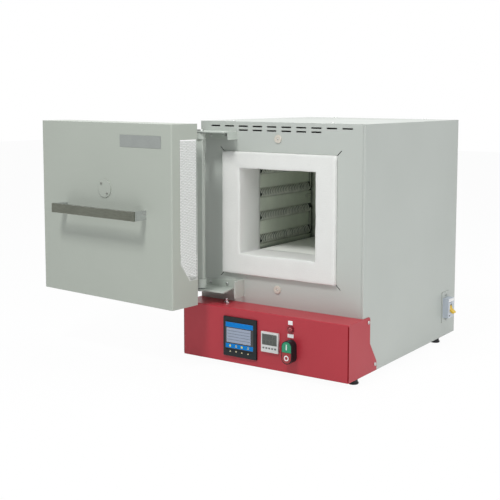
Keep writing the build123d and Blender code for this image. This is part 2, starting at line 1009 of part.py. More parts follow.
deck_back = body_depth - jacket_front
with BuildPart() as deck_plate:
    extrude(
        **block(
            body,
            (-tray_half, jacket_front, jacket_low - deck_lip),
            (tray_half, deck_back, jacket_low),
        )
    )
    extrude(
        **block(
            body,
            (-tray_half + sheet, jacket_front - overcut, jacket_low - deck_lip - overcut),
            (tray_half - sheet, deck_back + overcut, jacket_low - sheet),
        ),
        mode=Mode.SUBTRACT,
    )
save(deck_plate, "deck_plate")

with BuildPart() as contactor:
    step_z = sheet
    for step_length, step_height in (contactor_foot, contactor_block, contactor_top):
        extrude(
            **block(
                body,
                (contactor_x - contactor_width / 2, contactor_y - step_length / 2, step_z),
                (contactor_x + contactor_width / 2, contactor_y + step_length / 2, step_z + step_height),
            )
        )
        step_z += step_height
save(contactor, "contactor")

with BuildPart() as power_relay:
    fins_z = sheet + relay_base[2]
    with BuildSketch(level(body, sheet)) as relay_plate:
        with Locations((relay_x, relay_y)):
            Rectangle(relay_base[0], relay_base[1])
    extrude(amount=relay_base[2])
    with BuildSketch(level(body, fins_z)) as fins:
        with Locations((relay_x, relay_y)):
            with GridLocations(fin_pitch, 1, fin_count, 1):
                Rectangle(fin_thickness, relay_base[1])
    extrude(amount=fin_height)
    with BuildSketch(level(body, fins_z + fin_height)) as relay_case:
        with Locations((relay_x, relay_y)):
            Rectangle(relay_block[0], relay_block[1])
    extrude(amount=relay_block[2])
save(power_relay, "power_relay")

# ---------------------------------------------------------------- hinge fixed to the body
plate_left = -half + plate_inset
plate_points = [
    (plate_left, -web_thickness),
    (plate_left + plate_wall_length, -web_thickness),
    (plate_left + plate_front_length, -plate_reach),
    (plate_left + plate_corner, -plate_reach),
    (plate_left, -plate_reach + plate_corner),
]
pivot_place = [(pivot_x, -pivot_out)]
upper_web_low = upper_plate_z - upper_web_drop
lower_web_low = lower_plate_z - lower_web_drop
lower_web_left = lower_plate_z + lower_web_rise_left
lower_web_right = lower_plate_z + lower_web_rise_right
lower_flange_x = plate_left + lower_web_length
upper_flange_x = plate_left + upper_web_length
plate_top = upper_plate_z + bracket_plate

with BuildPart() as hinge_bracket_upper:
    extrude(outline(level(body, upper_plate_z), plate_points), amount=bracket_plate)
    extrude(**block(body, (plate_left, -web_thickness, upper_web_low), (upper_flange_x, 0, plate_top)))
    extrude(
        outline(
            flank(body, upper_flange_x - web_thickness),
            [
                (0, upper_web_low),
                (0, plate_top),
                (-flange_reach, plate_top),
                (-flange_reach, upper_web_low),
            ],
        ),
        amount=web_thickness,
    )
    extrude(
        discs(level(body, upper_plate_z - overcut), pivot_place, pin_radius),
        amount=bracket_plate + 2 * overcut,
        mode=Mode.SUBTRACT,
    )
save(hinge_bracket_upper, "hinge_bracket_upper")

with BuildPart() as hinge_bracket_lower:
    extrude(outline(level(body, lower_plate_z), plate_points), amount=bracket_plate)
    extrude(
        outline(
            facing(body, 0),
            [
                (plate_left, lower_web_low),
                (lower_flange_x, lower_web_low),
                (lower_flange_x, lower_web_right),
                (plate_left, lower_web_left),
            ],
        ),
        amount=web_thickness,
    )
    extrude(
        **block(
            body,
            (lower_flange_x - web_thickness, -flange_reach, lower_web_low),
            (lower_flange_x, 0, lower_web_right),
        )
    )
    extrude(
        discs(level(body, lower_plate_z - overcut), pivot_place, pin_radius),
        amount=bracket_plate + 2 * overcut,
        mode=Mode.SUBTRACT,
    )
save(hinge_bracket_lower, "hinge_bracket_lower")

upper_washer_z = upper_plate_z - washer_thickness
lower_washer_z = lower_plate_z + bracket_plate
post_low = lower_washer_z + washer_thickness + fit_gap
post_high = upper_washer_z - fit_gap

with BuildPart() as hinge_washers:
    extrude(discs(level(body, upper_washer_z), pivot_place, washer_radius), amount=washer_thickness)
    extrude(discs(level(body, lower_washer_z), pivot_place, washer_radius), amount=washer_thickness)
    extrude(
        discs(level(body, lower_washer_z - overcut), pivot_place, pin_radius + fit_gap),
        amount=upper_plate_z - lower_washer_z + 2 * overcut,
        mode=Mode.SUBTRACT,
    )
save(hinge_washers, "hinge_washers")

with BuildPart() as hinge_pins:
    extrude(discs(level(body, plate_top), pivot_place, pin_head_radius), amount=pin_head)
    extrude(
        discs(level(body, post_high - pin_engagement), pivot_place, pin_radius),
        amount=plate_top - post_high + pin_engagement,
    )
    extrude(discs(level(body, lower_plate_z - pin_head), pivot_place, pin_head_radius), amount=pin_head)
    extrude(
        discs(level(body, lower_plate_z), pivot_place, pin_radius),
        amount=post_low + pin_engagement - lower_plate_z,
    )
save(hinge_pins, "hinge_pins")

bracket_screw_places = [
    (plate_left + along, z)
    for along in (bracket_screw_near, bracket_screw_far)
    for z in (upper_plate_z - upper_screw_drop, lower_plate_z + lower_screw_rise)
]
with BuildPart() as hinge_screws:
    extrude(
        discs(facing(body, -web_thickness), bracket_screw_places, bracket_screw_radius),
        amount=bracket_screw_head,
    )
save(hinge_screws, "hinge_screws")

stop_places = [(stop_x, collar_top + stop_above_collar), (stop_x, collar_bottom - stop_below_collar)]
with BuildPart() as door_stops:
    extrude(discs(facing(body, 0), stop_places, stop_radius), amount=stop_thickness)
    chamfer(door_stops.edges().group_by(Axis.Y)[0], screw_edge)
save(door_stops, "door_stops")

# ---------------------------------------------------------------- swing arm
with BuildPart() as hinge_post:
    with BuildSketch(level(arm, post_low)) as post_section:
        RectangleRounded(post_size, post_size, post_corner)
        Circle(pin_radius + pin_clearance, mode=Mode.SUBTRACT)
    extrude(amount=post_high - post_low)
save(hinge_post, "hinge_post")

upper_arm_z = post_high - upper_arm_height
lower_arm_z = post_low
to_knee = math.hypot(knee_along, knee_aside)
knee_angle = math.degrees(math.atan2(knee_aside, knee_along))
from_knee = math.hypot(arm_length - knee_along, knee_aside)
eye_angle = math.degrees(math.atan2(-knee_aside, arm_length - knee_along))

for arm_name, arm_z, arm_height in (
    ("upper_arm", upper_arm_z, upper_arm_height),
    ("lower_arm", lower_arm_z, lower_arm_height),
):
    with BuildPart() as swing_bar:
        with BuildSketch(level(arm, arm_z)) as bar_plan:
            with Locations((knee_along / 2, knee_aside / 2)):
                SlotCenterToCenter(to_knee, bar_width, rotation=knee_angle)
            with Locations(((knee_along + arm_length) / 2, knee_aside / 2)):
                SlotCenterToCenter(from_knee, bar_width, rotation=eye_angle)
            Circle(post_size * 0.75)
            with Locations((arm_length, 0)):
                Circle(eye_radius)
                Circle(pin_radius + pin_clearance, mode=Mode.SUBTRACT)
            RectangleRounded(post_size, post_size, post_corner, mode=Mode.SUBTRACT)
        extrude(amount=arm_height)
    save(swing_bar, arm_name)

# ---------------------------------------------------------------- door
door_back = door_front + door_thickness
skin_inner = door_front + sheet
window_front = door_front + side_return
window_low = door_bottom + window_bottom_margin
window_high = door_top - window_top_margin


def side_window(x, reach):
    """Outline of the window in the door's side, cut out of the sheet towards the back."""
    return outline(
        flank(door, x),
        [
            (window_front, window_high),
            (window_front, window_low + window_slope_z),
            (window_front + window_slope_y, window_low),
            (door_back + reach, window_low),
            (door_back + reach, window_high),
        ],
    )


with BuildPart() as door_shell:
    extrude(**block(door, (-half, door_front, door_bottom), (half, door_back, door_top)))
    uprights = door_shell.edges().filter_by(Axis.Z).sort_by(Axis((0, 0, 0), -door.y_dir))[-2:]
    fillet(uprights, radius=door_fold)
    extrude(
        **block(
            door,
            (-half + sheet, skin_inner, door_bottom + sheet),
            (half - sheet, door_back + overcut, door_top - sheet),
        ),
        mode=Mode.SUBTRACT,
    )
    for low_x in (-half - overcut, half - sheet - overcut):
        extrude(side_window(low_x, overcut), amount=sheet + 2 * overcut, mode=Mode.SUBTRACT)
save(door_shell, "door_shell")

hole_field_low = window_low + window_slope_z
hole_field = (door_back - window_front, window_high - hole_field_low)
hole_centre = ((window_front + door_back) / 2, (hole_field_low + window_high) / 2)
hole_counts = [int((span - 2 * hole_margin - hole_size) / hole_pitch) + 1 for span in hole_field]
for screen_name, low_x in (("screen_left", -half), ("screen_right", half - sheet)):
    with BuildPart() as screen:
        extrude(side_window(low_x, 0), amount=sheet)
        with BuildSketch(flank(door, low_x - overcut)) as perforation:
            with Locations(hole_centre):
                with GridLocations(hole_pitch, hole_pitch, *hole_counts):
                    Rectangle(hole_size, hole_size)
        extrude(amount=sheet + 2 * overcut, mode=Mode.SUBTRACT)
    save(screen, screen_name)

with BuildPart() as plug_carrier:
    extrude(
        **block(
            door, (-carrier_half, skin_inner, carrier_bottom), (carrier_half, carrier_edge, carrier_top)
        )
    )
    extrude(
        **block(
            door,
            (-carrier_half + carrier_sheet, skin_inner + carrier_sheet, carrier_bottom + carrier_sheet),
            (carrier_half - carrier_sheet, carrier_edge + overcut, carrier_top - carrier_sheet),
        ),
        mode=Mode.SUBTRACT,
    )
save(plug_carrier, "plug_carrier")

plug_inset = carrier_sheet + fit_gap
plug_back = door_pivot_out - collar_proud - fit_gap
with BuildPart() as door_plug:
    extrude(
        **block(
            door,
            (-carrier_half + plug_inset, skin_inner + carrier_sheet, carrier_bottom + plug_inset),
            (carrier_half - plug_inset, plug_back, carrier_top - plug_inset),
        )
    )
    extrude(
        **block(
            door,
            (-opening_half + boss_clearance, plug_back, opening_bottom + boss_clearance),
            (opening_half - boss_clearance, plug_back + boss_height, opening_top - boss_clearance),
        )
    )
save(door_plug, "door_plug")

lug_reach = eye_radius - lug_eye_margin
upper_lug_z = post_high + fit_gap
lower_lug_z = post_low - fit_gap - lug_sheet
door_pin_place = [(0, 0)]

with BuildPart() as door_hinge_upper:
    extrude(
        **block(
            door,
            (-lug_half, lug_web_y, carrier_top),
            (lug_half, lug_web_y + lug_foot, carrier_top + lug_sheet),
        )
    )
    extrude(
        **block(
            door,
            (-lug_half, lug_web_y, carrier_top),
            (lug_half, lug_web_y + lug_sheet, upper_lug_z + lug_sheet),
        )
    )
    extrude(
        **block(
            door,
            (-lug_half, lug_web_y, upper_lug_z),
            (lug_half, lug_reach, upper_lug_z + lug_sheet),
        )
    )
    extrude(
        discs(level(door, upper_lug_z - overcut), door_pin_place, pin_radius),
        amount=lug_sheet + 2 * overcut,
        mode=Mode.SUBTRACT,
    )
save(door_hinge_upper, "door_hinge_upper")

with BuildPart() as door_hinge_lower:
    extrude(
        **block(
            door,
            (-lug_half, lug_web_y, carrier_bottom - lug_sheet),
            (lug_half, lug_web_y + lug_foot, carrier_bottom),
        )
    )
    extrude(
        **block(
            door,
            (-lug_half, lug_web_y, lower_lug_z),
            (lug_half, lug_web_y + lug_sheet, carrier_bottom),
        )
    )
    extrude(
        **block(
            door,
            (-lug_half, lug_web_y, lower_lug_z),
            (lug_half, lug_reach, lower_lug_z + lug_sheet),
        )
    )
    extrude(
        discs(level(door, lower_lug_z - overcut), door_pin_place, pin_radius),
        amount=lug_sheet + 2 * overcut,
        mode=Mode.SUBTRACT,
    )
save(door_hinge_lower, "door_hinge_lower")

with BuildPart() as pivot_pins:
    extrude(discs(level(door, upper_lug_z + lug_sheet), door_pin_place, pin_head_radius), amount=pin_head)
    extrude(
        discs(level(door, upper_arm_z - pin_end), door_pin_place, pin_radius),
        amount=upper_lug_z + lug_sheet - upper_arm_z + pin_end,
    )
    extrude(discs(level(door, lower_lug_z - pin_head), door_pin_place, pin_head_radius), amount=pin_head)
    extrude(
        discs(level(door, lower_lug_z), door_pin_place, pin_radius),
        amount=post_low + lower_arm_height + pin_end - lower_lug_z,
    )
save(pivot_pins, "pivot_pins")

handle_back = door_front - handle_standoff
leg_x = handle_length / 2 - handle_leg / 2
with BuildPart() as handle_bar:
    extrude(
        rectangle(
            facing(door, handle_back),
            -handle_length / 2,
            handle_length / 2,
            handle_z - handle_height / 2,
            handle_z + handle_height / 2,
        ),
        amount=handle_thickness,
    )
    chamfer(handle_bar.edges().group_by(Axis.Y)[0], screw_edge)
save(handle_bar, "handle_bar")

with BuildPart() as handle_legs:
    for hand in (-1, 1):
        extrude(
            rectangle(
                facing(door, door_front),
                hand * leg_x - handle_leg / 2,
                hand * leg_x + handle_leg / 2,
                handle_z - handle_height / 2 + leg_inset,
                handle_z + handle_height / 2 - leg_inset,
            ),
            amount=handle_standoff,
        )
save(handle_legs, "handle_legs")

cap_screws = [(cap_x - cap_screw_x, cap_z + cap_screw_z), (cap_x + cap_screw_x, cap_z - cap_screw_z)]
with BuildPart() as peephole_cap:
    extrude(discs(facing(door, door_front), [(cap_x, cap_z)], cap_radius), amount=cap_thickness)
    extrude(
        discs(facing(door, door_front - cap_thickness), cap_screws, cap_screw_radius), amount=cap_screw_head
    )
save(peephole_cap, "peephole_cap")
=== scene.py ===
# %% [markdown]
# # Dressing a bench muffle furnace
# A muffle furnace is a sheet-steel box round a small chamber of white fibre and brick. Its
# plug of a door swings out on an arm and stays parallel to the front. The solid model already
# holds every piece in its true place. Here each piece gets its finish, and what is too fine
# for the solid model is added: the turns of the heating wire, the fine perforation, the
# screw heads and the marks on the instruments.

# %% Load the fixed frame
import math
import bmesh
import bpy
from mathutils import Matrix, Vector, noise


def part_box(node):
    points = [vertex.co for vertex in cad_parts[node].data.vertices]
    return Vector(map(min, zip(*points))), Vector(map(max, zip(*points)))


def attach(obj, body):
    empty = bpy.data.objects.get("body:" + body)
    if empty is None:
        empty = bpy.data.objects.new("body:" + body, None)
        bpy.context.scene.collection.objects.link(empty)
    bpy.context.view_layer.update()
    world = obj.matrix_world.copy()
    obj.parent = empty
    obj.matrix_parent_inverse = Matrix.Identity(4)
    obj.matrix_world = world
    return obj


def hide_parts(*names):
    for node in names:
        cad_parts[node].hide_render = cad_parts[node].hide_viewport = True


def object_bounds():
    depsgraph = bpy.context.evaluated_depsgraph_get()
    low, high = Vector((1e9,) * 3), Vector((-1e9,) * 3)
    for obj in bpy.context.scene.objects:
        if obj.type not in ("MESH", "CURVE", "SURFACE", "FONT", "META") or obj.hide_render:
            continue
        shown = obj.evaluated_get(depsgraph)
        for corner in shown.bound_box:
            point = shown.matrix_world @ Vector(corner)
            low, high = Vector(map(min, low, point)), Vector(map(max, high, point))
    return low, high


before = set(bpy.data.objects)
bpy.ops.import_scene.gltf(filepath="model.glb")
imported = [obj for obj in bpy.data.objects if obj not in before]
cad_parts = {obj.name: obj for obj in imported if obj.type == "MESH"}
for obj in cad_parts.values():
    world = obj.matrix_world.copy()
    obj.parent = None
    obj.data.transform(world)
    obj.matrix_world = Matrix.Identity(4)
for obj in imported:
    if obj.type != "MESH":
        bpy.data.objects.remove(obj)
cad_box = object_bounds()

# %% [markdown]
# ## Two frames of reference
# The fixed body is measured from its front panel and the underside of its tray. The door has
# a frame of its own at its hinge pin, turned a few degrees, because it stands open. Both are
# read from the solid model, so that nothing here has to repeat where they are. Every piece
# below is drawn in millimetres in one of the two frames, and the frame's matrix turns it
# into metres.

# %% Body frame and door frame
MM = 0.001
DOOR_TURN = math.radians(-5.13)

front_low, front_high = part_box("front_panel")
front_middle = (front_low + front_high) / 2
pin_low, pin_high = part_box("pivot_pins")
pin_middle = (pin_low + pin_high) / 2
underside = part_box("base_tray")[0].z

body_frame = Matrix.Translation((front_middle.x, front_low.y, underside)) @ Matrix.Scale(MM, 4)
door_frame = (
    Matrix.Translation((pin_middle.x, pin_middle.y, underside))
    @ Matrix.Rotation(DOOR_TURN, 4, "Z")
    @ Matrix.Scale(MM, 4)
)
print("Front panel at y", round(front_low.y, 4), "door pin at", [round(v, 4) for v in pin_middle])

# %% [markdown]
# ## The camera
# The view is that of someone standing a little to the right of the furnace, a bit above it,
# with a long lens that keeps the sheet-metal edges almost parallel. The lens shift moves the
# picture on the film without turning the camera, so the uprights stay upright.

# %% Camera
CAMERA_PLACE = (1256.7, -1923.2, 642.7)
CAMERA_TILT = math.radians(90 - 5.98)
CAMERA_ROLL = 0.0049
CAMERA_YAW = math.radians(32.77)
LENS_LENGTH = 69.86
FILM_WIDTH = 36
LENS_SHIFT = (-0.0703, -0.1072)


def show(name, data):
    """Put a new object with this data into the scene."""
    made = bpy.data.objects.new(name, data)
    bpy.context.scene.collection.objects.link(made)
    return made


camera_data = bpy.data.cameras.new("camera")
camera_data.lens = LENS_LENGTH
camera_data.sensor_width = FILM_WIDTH
camera_data.shift_x, camera_data.shift_y = LENS_SHIFT
camera = show("camera", camera_data)
camera.location = body_frame @ Vector(CAMERA_PLACE)
turn = Matrix.Rotation(CAMERA_YAW, 4, "Z") @ Matrix.Rotation(CAMERA_TILT, 4, "X")
camera.rotation_euler = (turn @ Matrix.Rotation(CAMERA_ROLL, 4, "Z")).to_euler()
bpy.context.scene.camera = camera
bpy.context.scene.view_settings.view_transform = "Standard"
print("Camera", CAMERA_PLACE, "lens", LENS_LENGTH)

# %% [markdown]
# ## Node groups shared by the finishes
# Paint, steel, fibre and plastic differ, but they share a few effects: a fine grain, a slow
# change of tone over the sheet, a lighter tint along the edges that is painted highlight, a
# lighter tint on what faces up that is painted top light, and a dark tint in what is closed in
# that is painted shade. Each effect is one node group, built once, so that a change to it
# reaches every finish. A group gives out only masks, heights and normals. The shader itself
# stays in the material.

# %% Helpers for node trees
def connect(tree, socket, value):
    """Link another socket to this one, or set its value."""
    if isinstance(value, bpy.types.NodeSocket):
        tree.links.new(value, socket)
    else:
        socket.default_value = value


def put(tree, kind, **settings):
    """Add a node; names that match a socket set that socket, the others set properties."""
    node = tree.nodes.new(kind)
    for name, value in settings.items():
        label = name.replace("_", " ").lower()
        if hasattr(node, name):
            setattr(node, name, value)
        else:
            connect(tree, next(s for s in node.inputs if s.name.lower() == label), value)
    return node


def start_group(name, inputs, outputs):
    """An empty group with its sockets; returns the tree and its two end nodes."""
    tree = bpy.data.node_groups.new(name, "ShaderNodeTree")
    for label, kind, value in inputs:
        socket = tree.interface.new_socket(label, in_out="INPUT", socket_type="NodeSocket" + kind)
        socket.default_value = value
    for label, kind in outputs:
        tree.interface.new_socket(label, in_out="OUTPUT", socket_type="NodeSocket" + kind)
    return tree, tree.nodes.new("NodeGroupInput"), tree.nodes.new("NodeGroupOutput")


def join(tree, kind, *values, **settings):
    """Add a node whose first sockets take these values in turn."""
    node = put(tree, kind, **settings)
    for socket, value in zip(node.inputs, values):
        connect(tree, socket, value)
    return node.outputs


def calculate(tree, operation, one, other):
    return join(tree, "ShaderNodeMath", one, other, operation=operation)[0]


def times(tree, one, other):
    return calculate(tree, "MULTIPLY", one, other)


def spread(tree, value, low, high, to_low=0.0, to_high=1.0):
    """Stretch part of a value's range to another range."""
    return join(tree, "ShaderNodeMapRange", value, low, high, to_low, to_high)[0]


def patches_of(tree, place, size, detail, roughness):
    """Noise whose patches are about as large as the given size, in metres."""
    texture = put(tree, "ShaderNodeTexNoise", Vector=place, Detail=detail, Roughness=roughness)
    connect(tree, texture.inputs["Scale"], calculate(tree, "DIVIDE", 1.0, size))
    return texture.outputs["Fac"]


def blend_colours(tree, share, one, other):
    """Mix two colours; the Mix node keeps its colour sockets behind those of other kinds."""
    node = put(tree, "ShaderNodeMix", data_type="RGBA")
    for socket, value in zip((node.inputs[0], node.inputs[6], node.inputs[7]), (share, one, other)):
        connect(tree, socket, value)
    return node.outputs[2]

# %% [markdown]
# The grain group gives a fine height for a Bump node and a slow change of tone. Its grain can
# be stretched along one axis: the same group is the orange peel of powder paint, the lines
# of brushed steel and the short fibres of the insulation.

# %% Grain group
MIDDLE_OF_NOISE = (0.3, 0.7)

grain, ends_in, ends_out = start_group(
    "Grain",
    [("Grain size", "Float", 0.001), ("Stretch", "Vector", (1, 1, 1)),
     ("Cloud size", "Float", 0.15)],
    [("Height", "Float"), ("Fine", "Float"), ("Cloud", "Float")],
)
place = put(grain, "ShaderNodeTexCoord").outputs["Object"]
stretch_by = ends_in.outputs["Stretch"]
stretched = join(grain, "ShaderNodeVectorMath", place, stretch_by, operation="MULTIPLY")[0]
fine_noise = patches_of(grain, stretched, ends_in.outputs["Grain size"], 2.0, 0.55)
slow_noise = patches_of(grain, place, ends_in.outputs["Cloud size"], 3.0, 0.5)
connect(grain, ends_out.inputs["Height"], fine_noise)
connect(grain, ends_out.inputs["Fine"], spread(grain, fine_noise, *MIDDLE_OF_NOISE))
connect(grain, ends_out.inputs["Cloud"], spread(grain, slow_noise, *MIDDLE_OF_NOISE))
print("Group Grain:", len(grain.nodes), "nodes")

# %% [markdown]
# The edge group finds folds and corners. The Bevel node gives the normal of a softly rounded
# surface; where it differs from the true normal, there is an edge. It also gives out that
# rounded normal, which makes folded sheet catch the light along its bends. Its mask, broken
# into patches, lays a lighter tint along the edges: a painted highlight.

# %% Edge group
FLAT, SHARP = 0.98, 0.8
PATCHY = (0.35, 0.65)

edges, ends_in, ends_out = start_group(
    "Edges",
    [("Radius", "Float", 0.001), ("Breakup", "Float", 0.01)],
    [("Mask", "Float"), ("Normal", "Vector")],
)
rounded = put(edges, "ShaderNodeBevel", samples=6, Radius=ends_in.outputs["Radius"]).outputs[0]
true_normal = put(edges, "ShaderNodeNewGeometry").outputs["True Normal"]
likeness = join(edges, "ShaderNodeVectorMath", rounded, true_normal, operation="DOT_PRODUCT")
place = put(edges, "ShaderNodeTexCoord").outputs["Object"]
patches = patches_of(edges, place, ends_in.outputs["Breakup"], 4.0, 0.6)
near_edge = spread(edges, likeness["Value"], FLAT, SHARP)
connect(edges, ends_out.inputs["Mask"], times(edges, near_edge, spread(edges, patches, *PATCHY)))
connect(edges, ends_out.inputs["Normal"], rounded)
print("Group Edges:", len(edges.nodes), "nodes")

# %% [markdown]
# Faces that point up get a lighter tint in uneven patches: painted top light, as if lit from above.

# %% Painted top light group
STEEP, LEVEL = 0.5, 1.0
LIT_PATCHES = (0.4, 0.7)

painted_top_light, ends_in, ends_out = start_group("Painted top light", [("Patch size", "Float", 0.05)], [("Mask", "Float")])
normal = put(painted_top_light, "ShaderNodeNewGeometry").outputs["Normal"]
facing_up = put(painted_top_light, "ShaderNodeSeparateXYZ", Vector=normal).outputs["Z"]
place = put(painted_top_light, "ShaderNodeTexCoord").outputs["Object"]
patches = patches_of(painted_top_light, place, ends_in.outputs["Patch size"], 5.0, 0.65)
upward = spread(painted_top_light, facing_up, STEEP, LEVEL)
connect(painted_top_light, ends_out.inputs["Mask"], times(painted_top_light, upward, spread(painted_top_light, patches, *LIT_PATCHES)))
print("Group Dust:", len(painted_top_light.nodes), "nodes")

# %% [markdown]
# Painted shade darkens the brick where little light gets in: in the grooves, behind the
# wire and in the corners. The Ambient Occlusion node finds such places, because it
# measures how much of the sky above a point is blocked by something near.

# %% Painted shade group
OPEN_SKY, ENCLOSED = 0.95, 0.4

painted_shade, ends_in, ends_out = start_group("Painted shade", [("Reach", "Float", 0.012)], [("Mask", "Float")])
reach = ends_in.outputs["Reach"]
open_share = put(painted_shade, "ShaderNodeAmbientOcclusion", samples=8, Distance=reach).outputs["AO"]
connect(painted_shade, ends_out.inputs["Mask"], spread(painted_shade, open_share, OPEN_SKY, ENCLOSED))
print("Group Soot:", len(painted_shade.nodes), "nodes")

# %% [markdown]
# ## One recipe for every finish
# Each finish is a Principled shader with the groups above round it. What is the same all
# over, such as metallic or coat, is set on the shader's own socket. What changes over the
# surface comes from the groups: the tone of the colour, the roughness, the relief, the
# painted highlight along the edges, the painted top light and the painted shade. The numbers
# that tell one finish from another stand in its own call.

# %% Finish recipe
def colour(red, green, blue):
    """A colour as it looks on a screen, turned into the linear colour a shader works in."""
    channels = [v / 255 for v in (red, green, blue)]
    linear = [v / 12.92 if v <= 0.04045 else ((v + 0.055) / 1.055) ** 2.4 for v in channels]
    return (*linear, 1.0)


def shade(tint, factor):
    return (*[v * factor for v in tint[:3]], 1.0)


def group_node(tree, group, **settings):
    node = tree.nodes.new("ShaderNodeGroup")
    node.node_tree = group
    for name, value in settings.items():
        node.inputs[name.replace("_", " ")].default_value = value
    return node.outputs


FINE_SHADE, SLOW_SHADE = 0.5, 0.55
RIM_BREAKUP, TOP_LIGHT_PATCH = 0.02, 0.06


def finish(name, tint, rough, *, grain_size=0.001, stretch=(1, 1, 1), relief=0.0, tone=0.05,
           cloud=0.04, cloud_size=0.15, rough_spread=0.05, edge=None, edge_radius=0.001,
           edge_amount=0.0, round_edges=0.0, top_light_tint=None, top_light_amount=0.0, painted_shade_tint=None,
           **plain):
    """Build one material; plain holds what is the same all over and goes on the shader itself."""
    material = bpy.data.materials.new(name)
    material.use_nodes = True
    tree = material.node_tree
    shader = tree.nodes["Principled BSDF"]
    for label, value in plain.items():
        shader.inputs[label.replace("_", " ")].default_value = value
    grains = group_node(tree, grain, Grain_size=grain_size, Stretch=stretch, Cloud_size=cloud_size)
    fine, slow = times(tree, grains["Fine"], tone * 2), times(tree, grains["Cloud"], cloud * 2)
    look = blend_colours(tree, fine, tint, shade(tint, FINE_SHADE))
    look = blend_colours(tree, slow, look, shade(tint, SLOW_SHADE))
    if edge_amount or round_edges:
        rims = group_node(tree, edges, Radius=edge_radius, Breakup=RIM_BREAKUP)
    # A lighter tint along folds and corners: a painted highlight.
    if edge_amount:
        look = blend_colours(tree, times(tree, rims["Mask"], edge_amount), look, edge)
    # A lighter tint on what faces up, in patches: painted top light.
    if top_light_amount:
        lit_tops = group_node(tree, painted_top_light, Patch_size=TOP_LIGHT_PATCH)["Mask"]
        look = blend_colours(tree, times(tree, lit_tops, top_light_amount), look, top_light_tint)
    # A dark tint where the Ambient Occlusion mask finds closed-in places: painted shade.
    if painted_shade_tint:
        look = blend_colours(tree, group_node(tree, painted_shade)["Mask"], look, painted_shade_tint)
    connect(tree, shader.inputs["Base Color"], look)
    uneven = spread(tree, grains["Cloud"], 0, 1, rough - rough_spread, rough + rough_spread)
    connect(tree, shader.inputs["Roughness"], uneven)
    if relief:
        bump = put(tree, "ShaderNodeBump", Strength=1.0, Distance=relief, Height=grains["Height"])
        if round_edges:
            connect(tree, bump.inputs["Normal"], rims["Normal"])
        connect(tree, shader.inputs["Normal"], bump.outputs[0])
    return material

# %% [markdown]
# ## Painted sheet
# The covers and the door are powder-coated in a light grey with a green cast; the door's
# copy of the paint is darker, which is painted shade. Powder flows out to a skin with a faint
# orange peel and a satin gloss. The console is the same kind of coat in red. Along the folds
# a lighter tint is painted highlight, and what faces up gets a lighter tint in patches, painted
# top light. The perforated sheet in the sides of the door is sprayed on its own, in a paler grey.

# %% Paint finishes
cover_paint = finish(
    "cover_paint", colour(187, 192, 186), 0.42, grain_size=0.0016, relief=0.00004, tone=0.012,
    cloud=0.03, cloud_size=0.22, edge=colour(205, 210, 204), edge_radius=0.0016, edge_amount=0.6,
    round_edges=1, top_light_tint=colour(205, 205, 200), top_light_amount=0.15, Specular_IOR_Level=0.4,
)
# A darker copy of the cover paint: painted shade on the door.
shaded_door_paint = finish(
    "shaded_door_paint", colour(176, 182, 172), 0.42, grain_size=0.0016, relief=0.00004, tone=0.012,
    cloud=0.03, cloud_size=0.25, edge=colour(200, 205, 198), edge_radius=0.0018, edge_amount=0.5,
    round_edges=1, top_light_tint=colour(205, 205, 200), top_light_amount=0.15, Specular_IOR_Level=0.4,
)
screen_paint = finish(
    "screen_paint", colour(204, 208, 203), 0.42, grain_size=0.0016, relief=0.00002, tone=0.01,
    cloud=0.02, top_light_tint=colour(205, 205, 200), top_light_amount=0.1, Specular_IOR_Level=0.4,
)
console_paint = finish(
    "console_paint", colour(176, 46, 58), 0.4, grain_size=0.0015, relief=0.00004, tone=0.03,
    cloud_size=0.12, edge=colour(205, 70, 84), edge_radius=0.0018, edge_amount=0.8,
    round_edges=1, top_light_tint=colour(200, 120, 125), top_light_amount=0.2, Specular_IOR_Level=0.45,
)
print("Paints:", cover_paint.name, shaded_door_paint.name, console_paint.name)

# %% [markdown]
# ## Metals
# The screws and pins are zinc-plated steel, slightly cloudy, but for the two on the door's
# cap, which are blued. The handle is a flat bar of stainless steel brushed along its length,
# so its grain is stretched along the bar. The zinc, the hinge paint and the handle get a
# lighter tint along their edges, a painted highlight, brightest on the handle. The heating
# wire has an oxide skin from its heats, pale and rough; the tubes behind it are tinted dark,
# as painted shade between the turns.

# %% Metal finishes
# Its lighter edge tint is a painted highlight.
zinc = finish(
    "zinc", colour(200, 202, 200), 0.34, grain_size=0.002, relief=0.00003, cloud=0.12,
    cloud_size=0.02, rough_spread=0.08, edge=colour(235, 235, 232), edge_radius=0.0008,
    edge_amount=0.6, Metallic=0.85,
)
# Its lighter edge tint is a painted highlight along the bracket's lit edges.
hinge_paint = finish(
    "hinge_paint", colour(190, 197, 189), 0.38, grain_size=0.0014, relief=0.00003, tone=0.03,
    cloud=0.05, cloud_size=0.04, edge=colour(230, 232, 228), edge_radius=0.0012, edge_amount=0.8,
)
bright_steel = finish(
    "bright_steel", colour(215, 216, 218), 0.25, grain_size=0.0008, stretch=(1, 1, 0.1),
    relief=0.00001, cloud=0.05, cloud_size=0.03, Metallic=1.0,
)
# Its bright edge tint is a painted highlight along the bar's lit end.
handle_steel = finish(
    "handle_steel", colour(116, 119, 108), 0.36, grain_size=0.0014, stretch=(0.01, 1, 1),
    relief=0.00003, tone=0.28, cloud=0.1, cloud_size=0.06, rough_spread=0.08,
    edge=colour(238, 238, 232), edge_radius=0.0016, edge_amount=1.0, Metallic=0.85,
)
coil_wire = finish(
    "coil_wire", colour(226, 232, 216), 0.55, grain_size=0.0009, relief=0.00008, tone=0.15,
    cloud=0.2, cloud_size=0.02, rough_spread=0.12,
)
blued_steel = finish(
    "blued_steel", colour(70, 66, 60), 0.4, grain_size=0.0008, relief=0.00001, Metallic=0.6,
)
# A dark tint on the tubes: painted shade between the turns of the wire.
tube_painted_shade = finish(
    "tube_painted_shade", colour(44, 52, 42), 0.8, grain_size=0.002, relief=0.0001, tone=0.2, cloud=0.2,
    cloud_size=0.03,
)
print("Metals:", zinc.name, bright_steel.name, blued_steel.name, coil_wire.name)
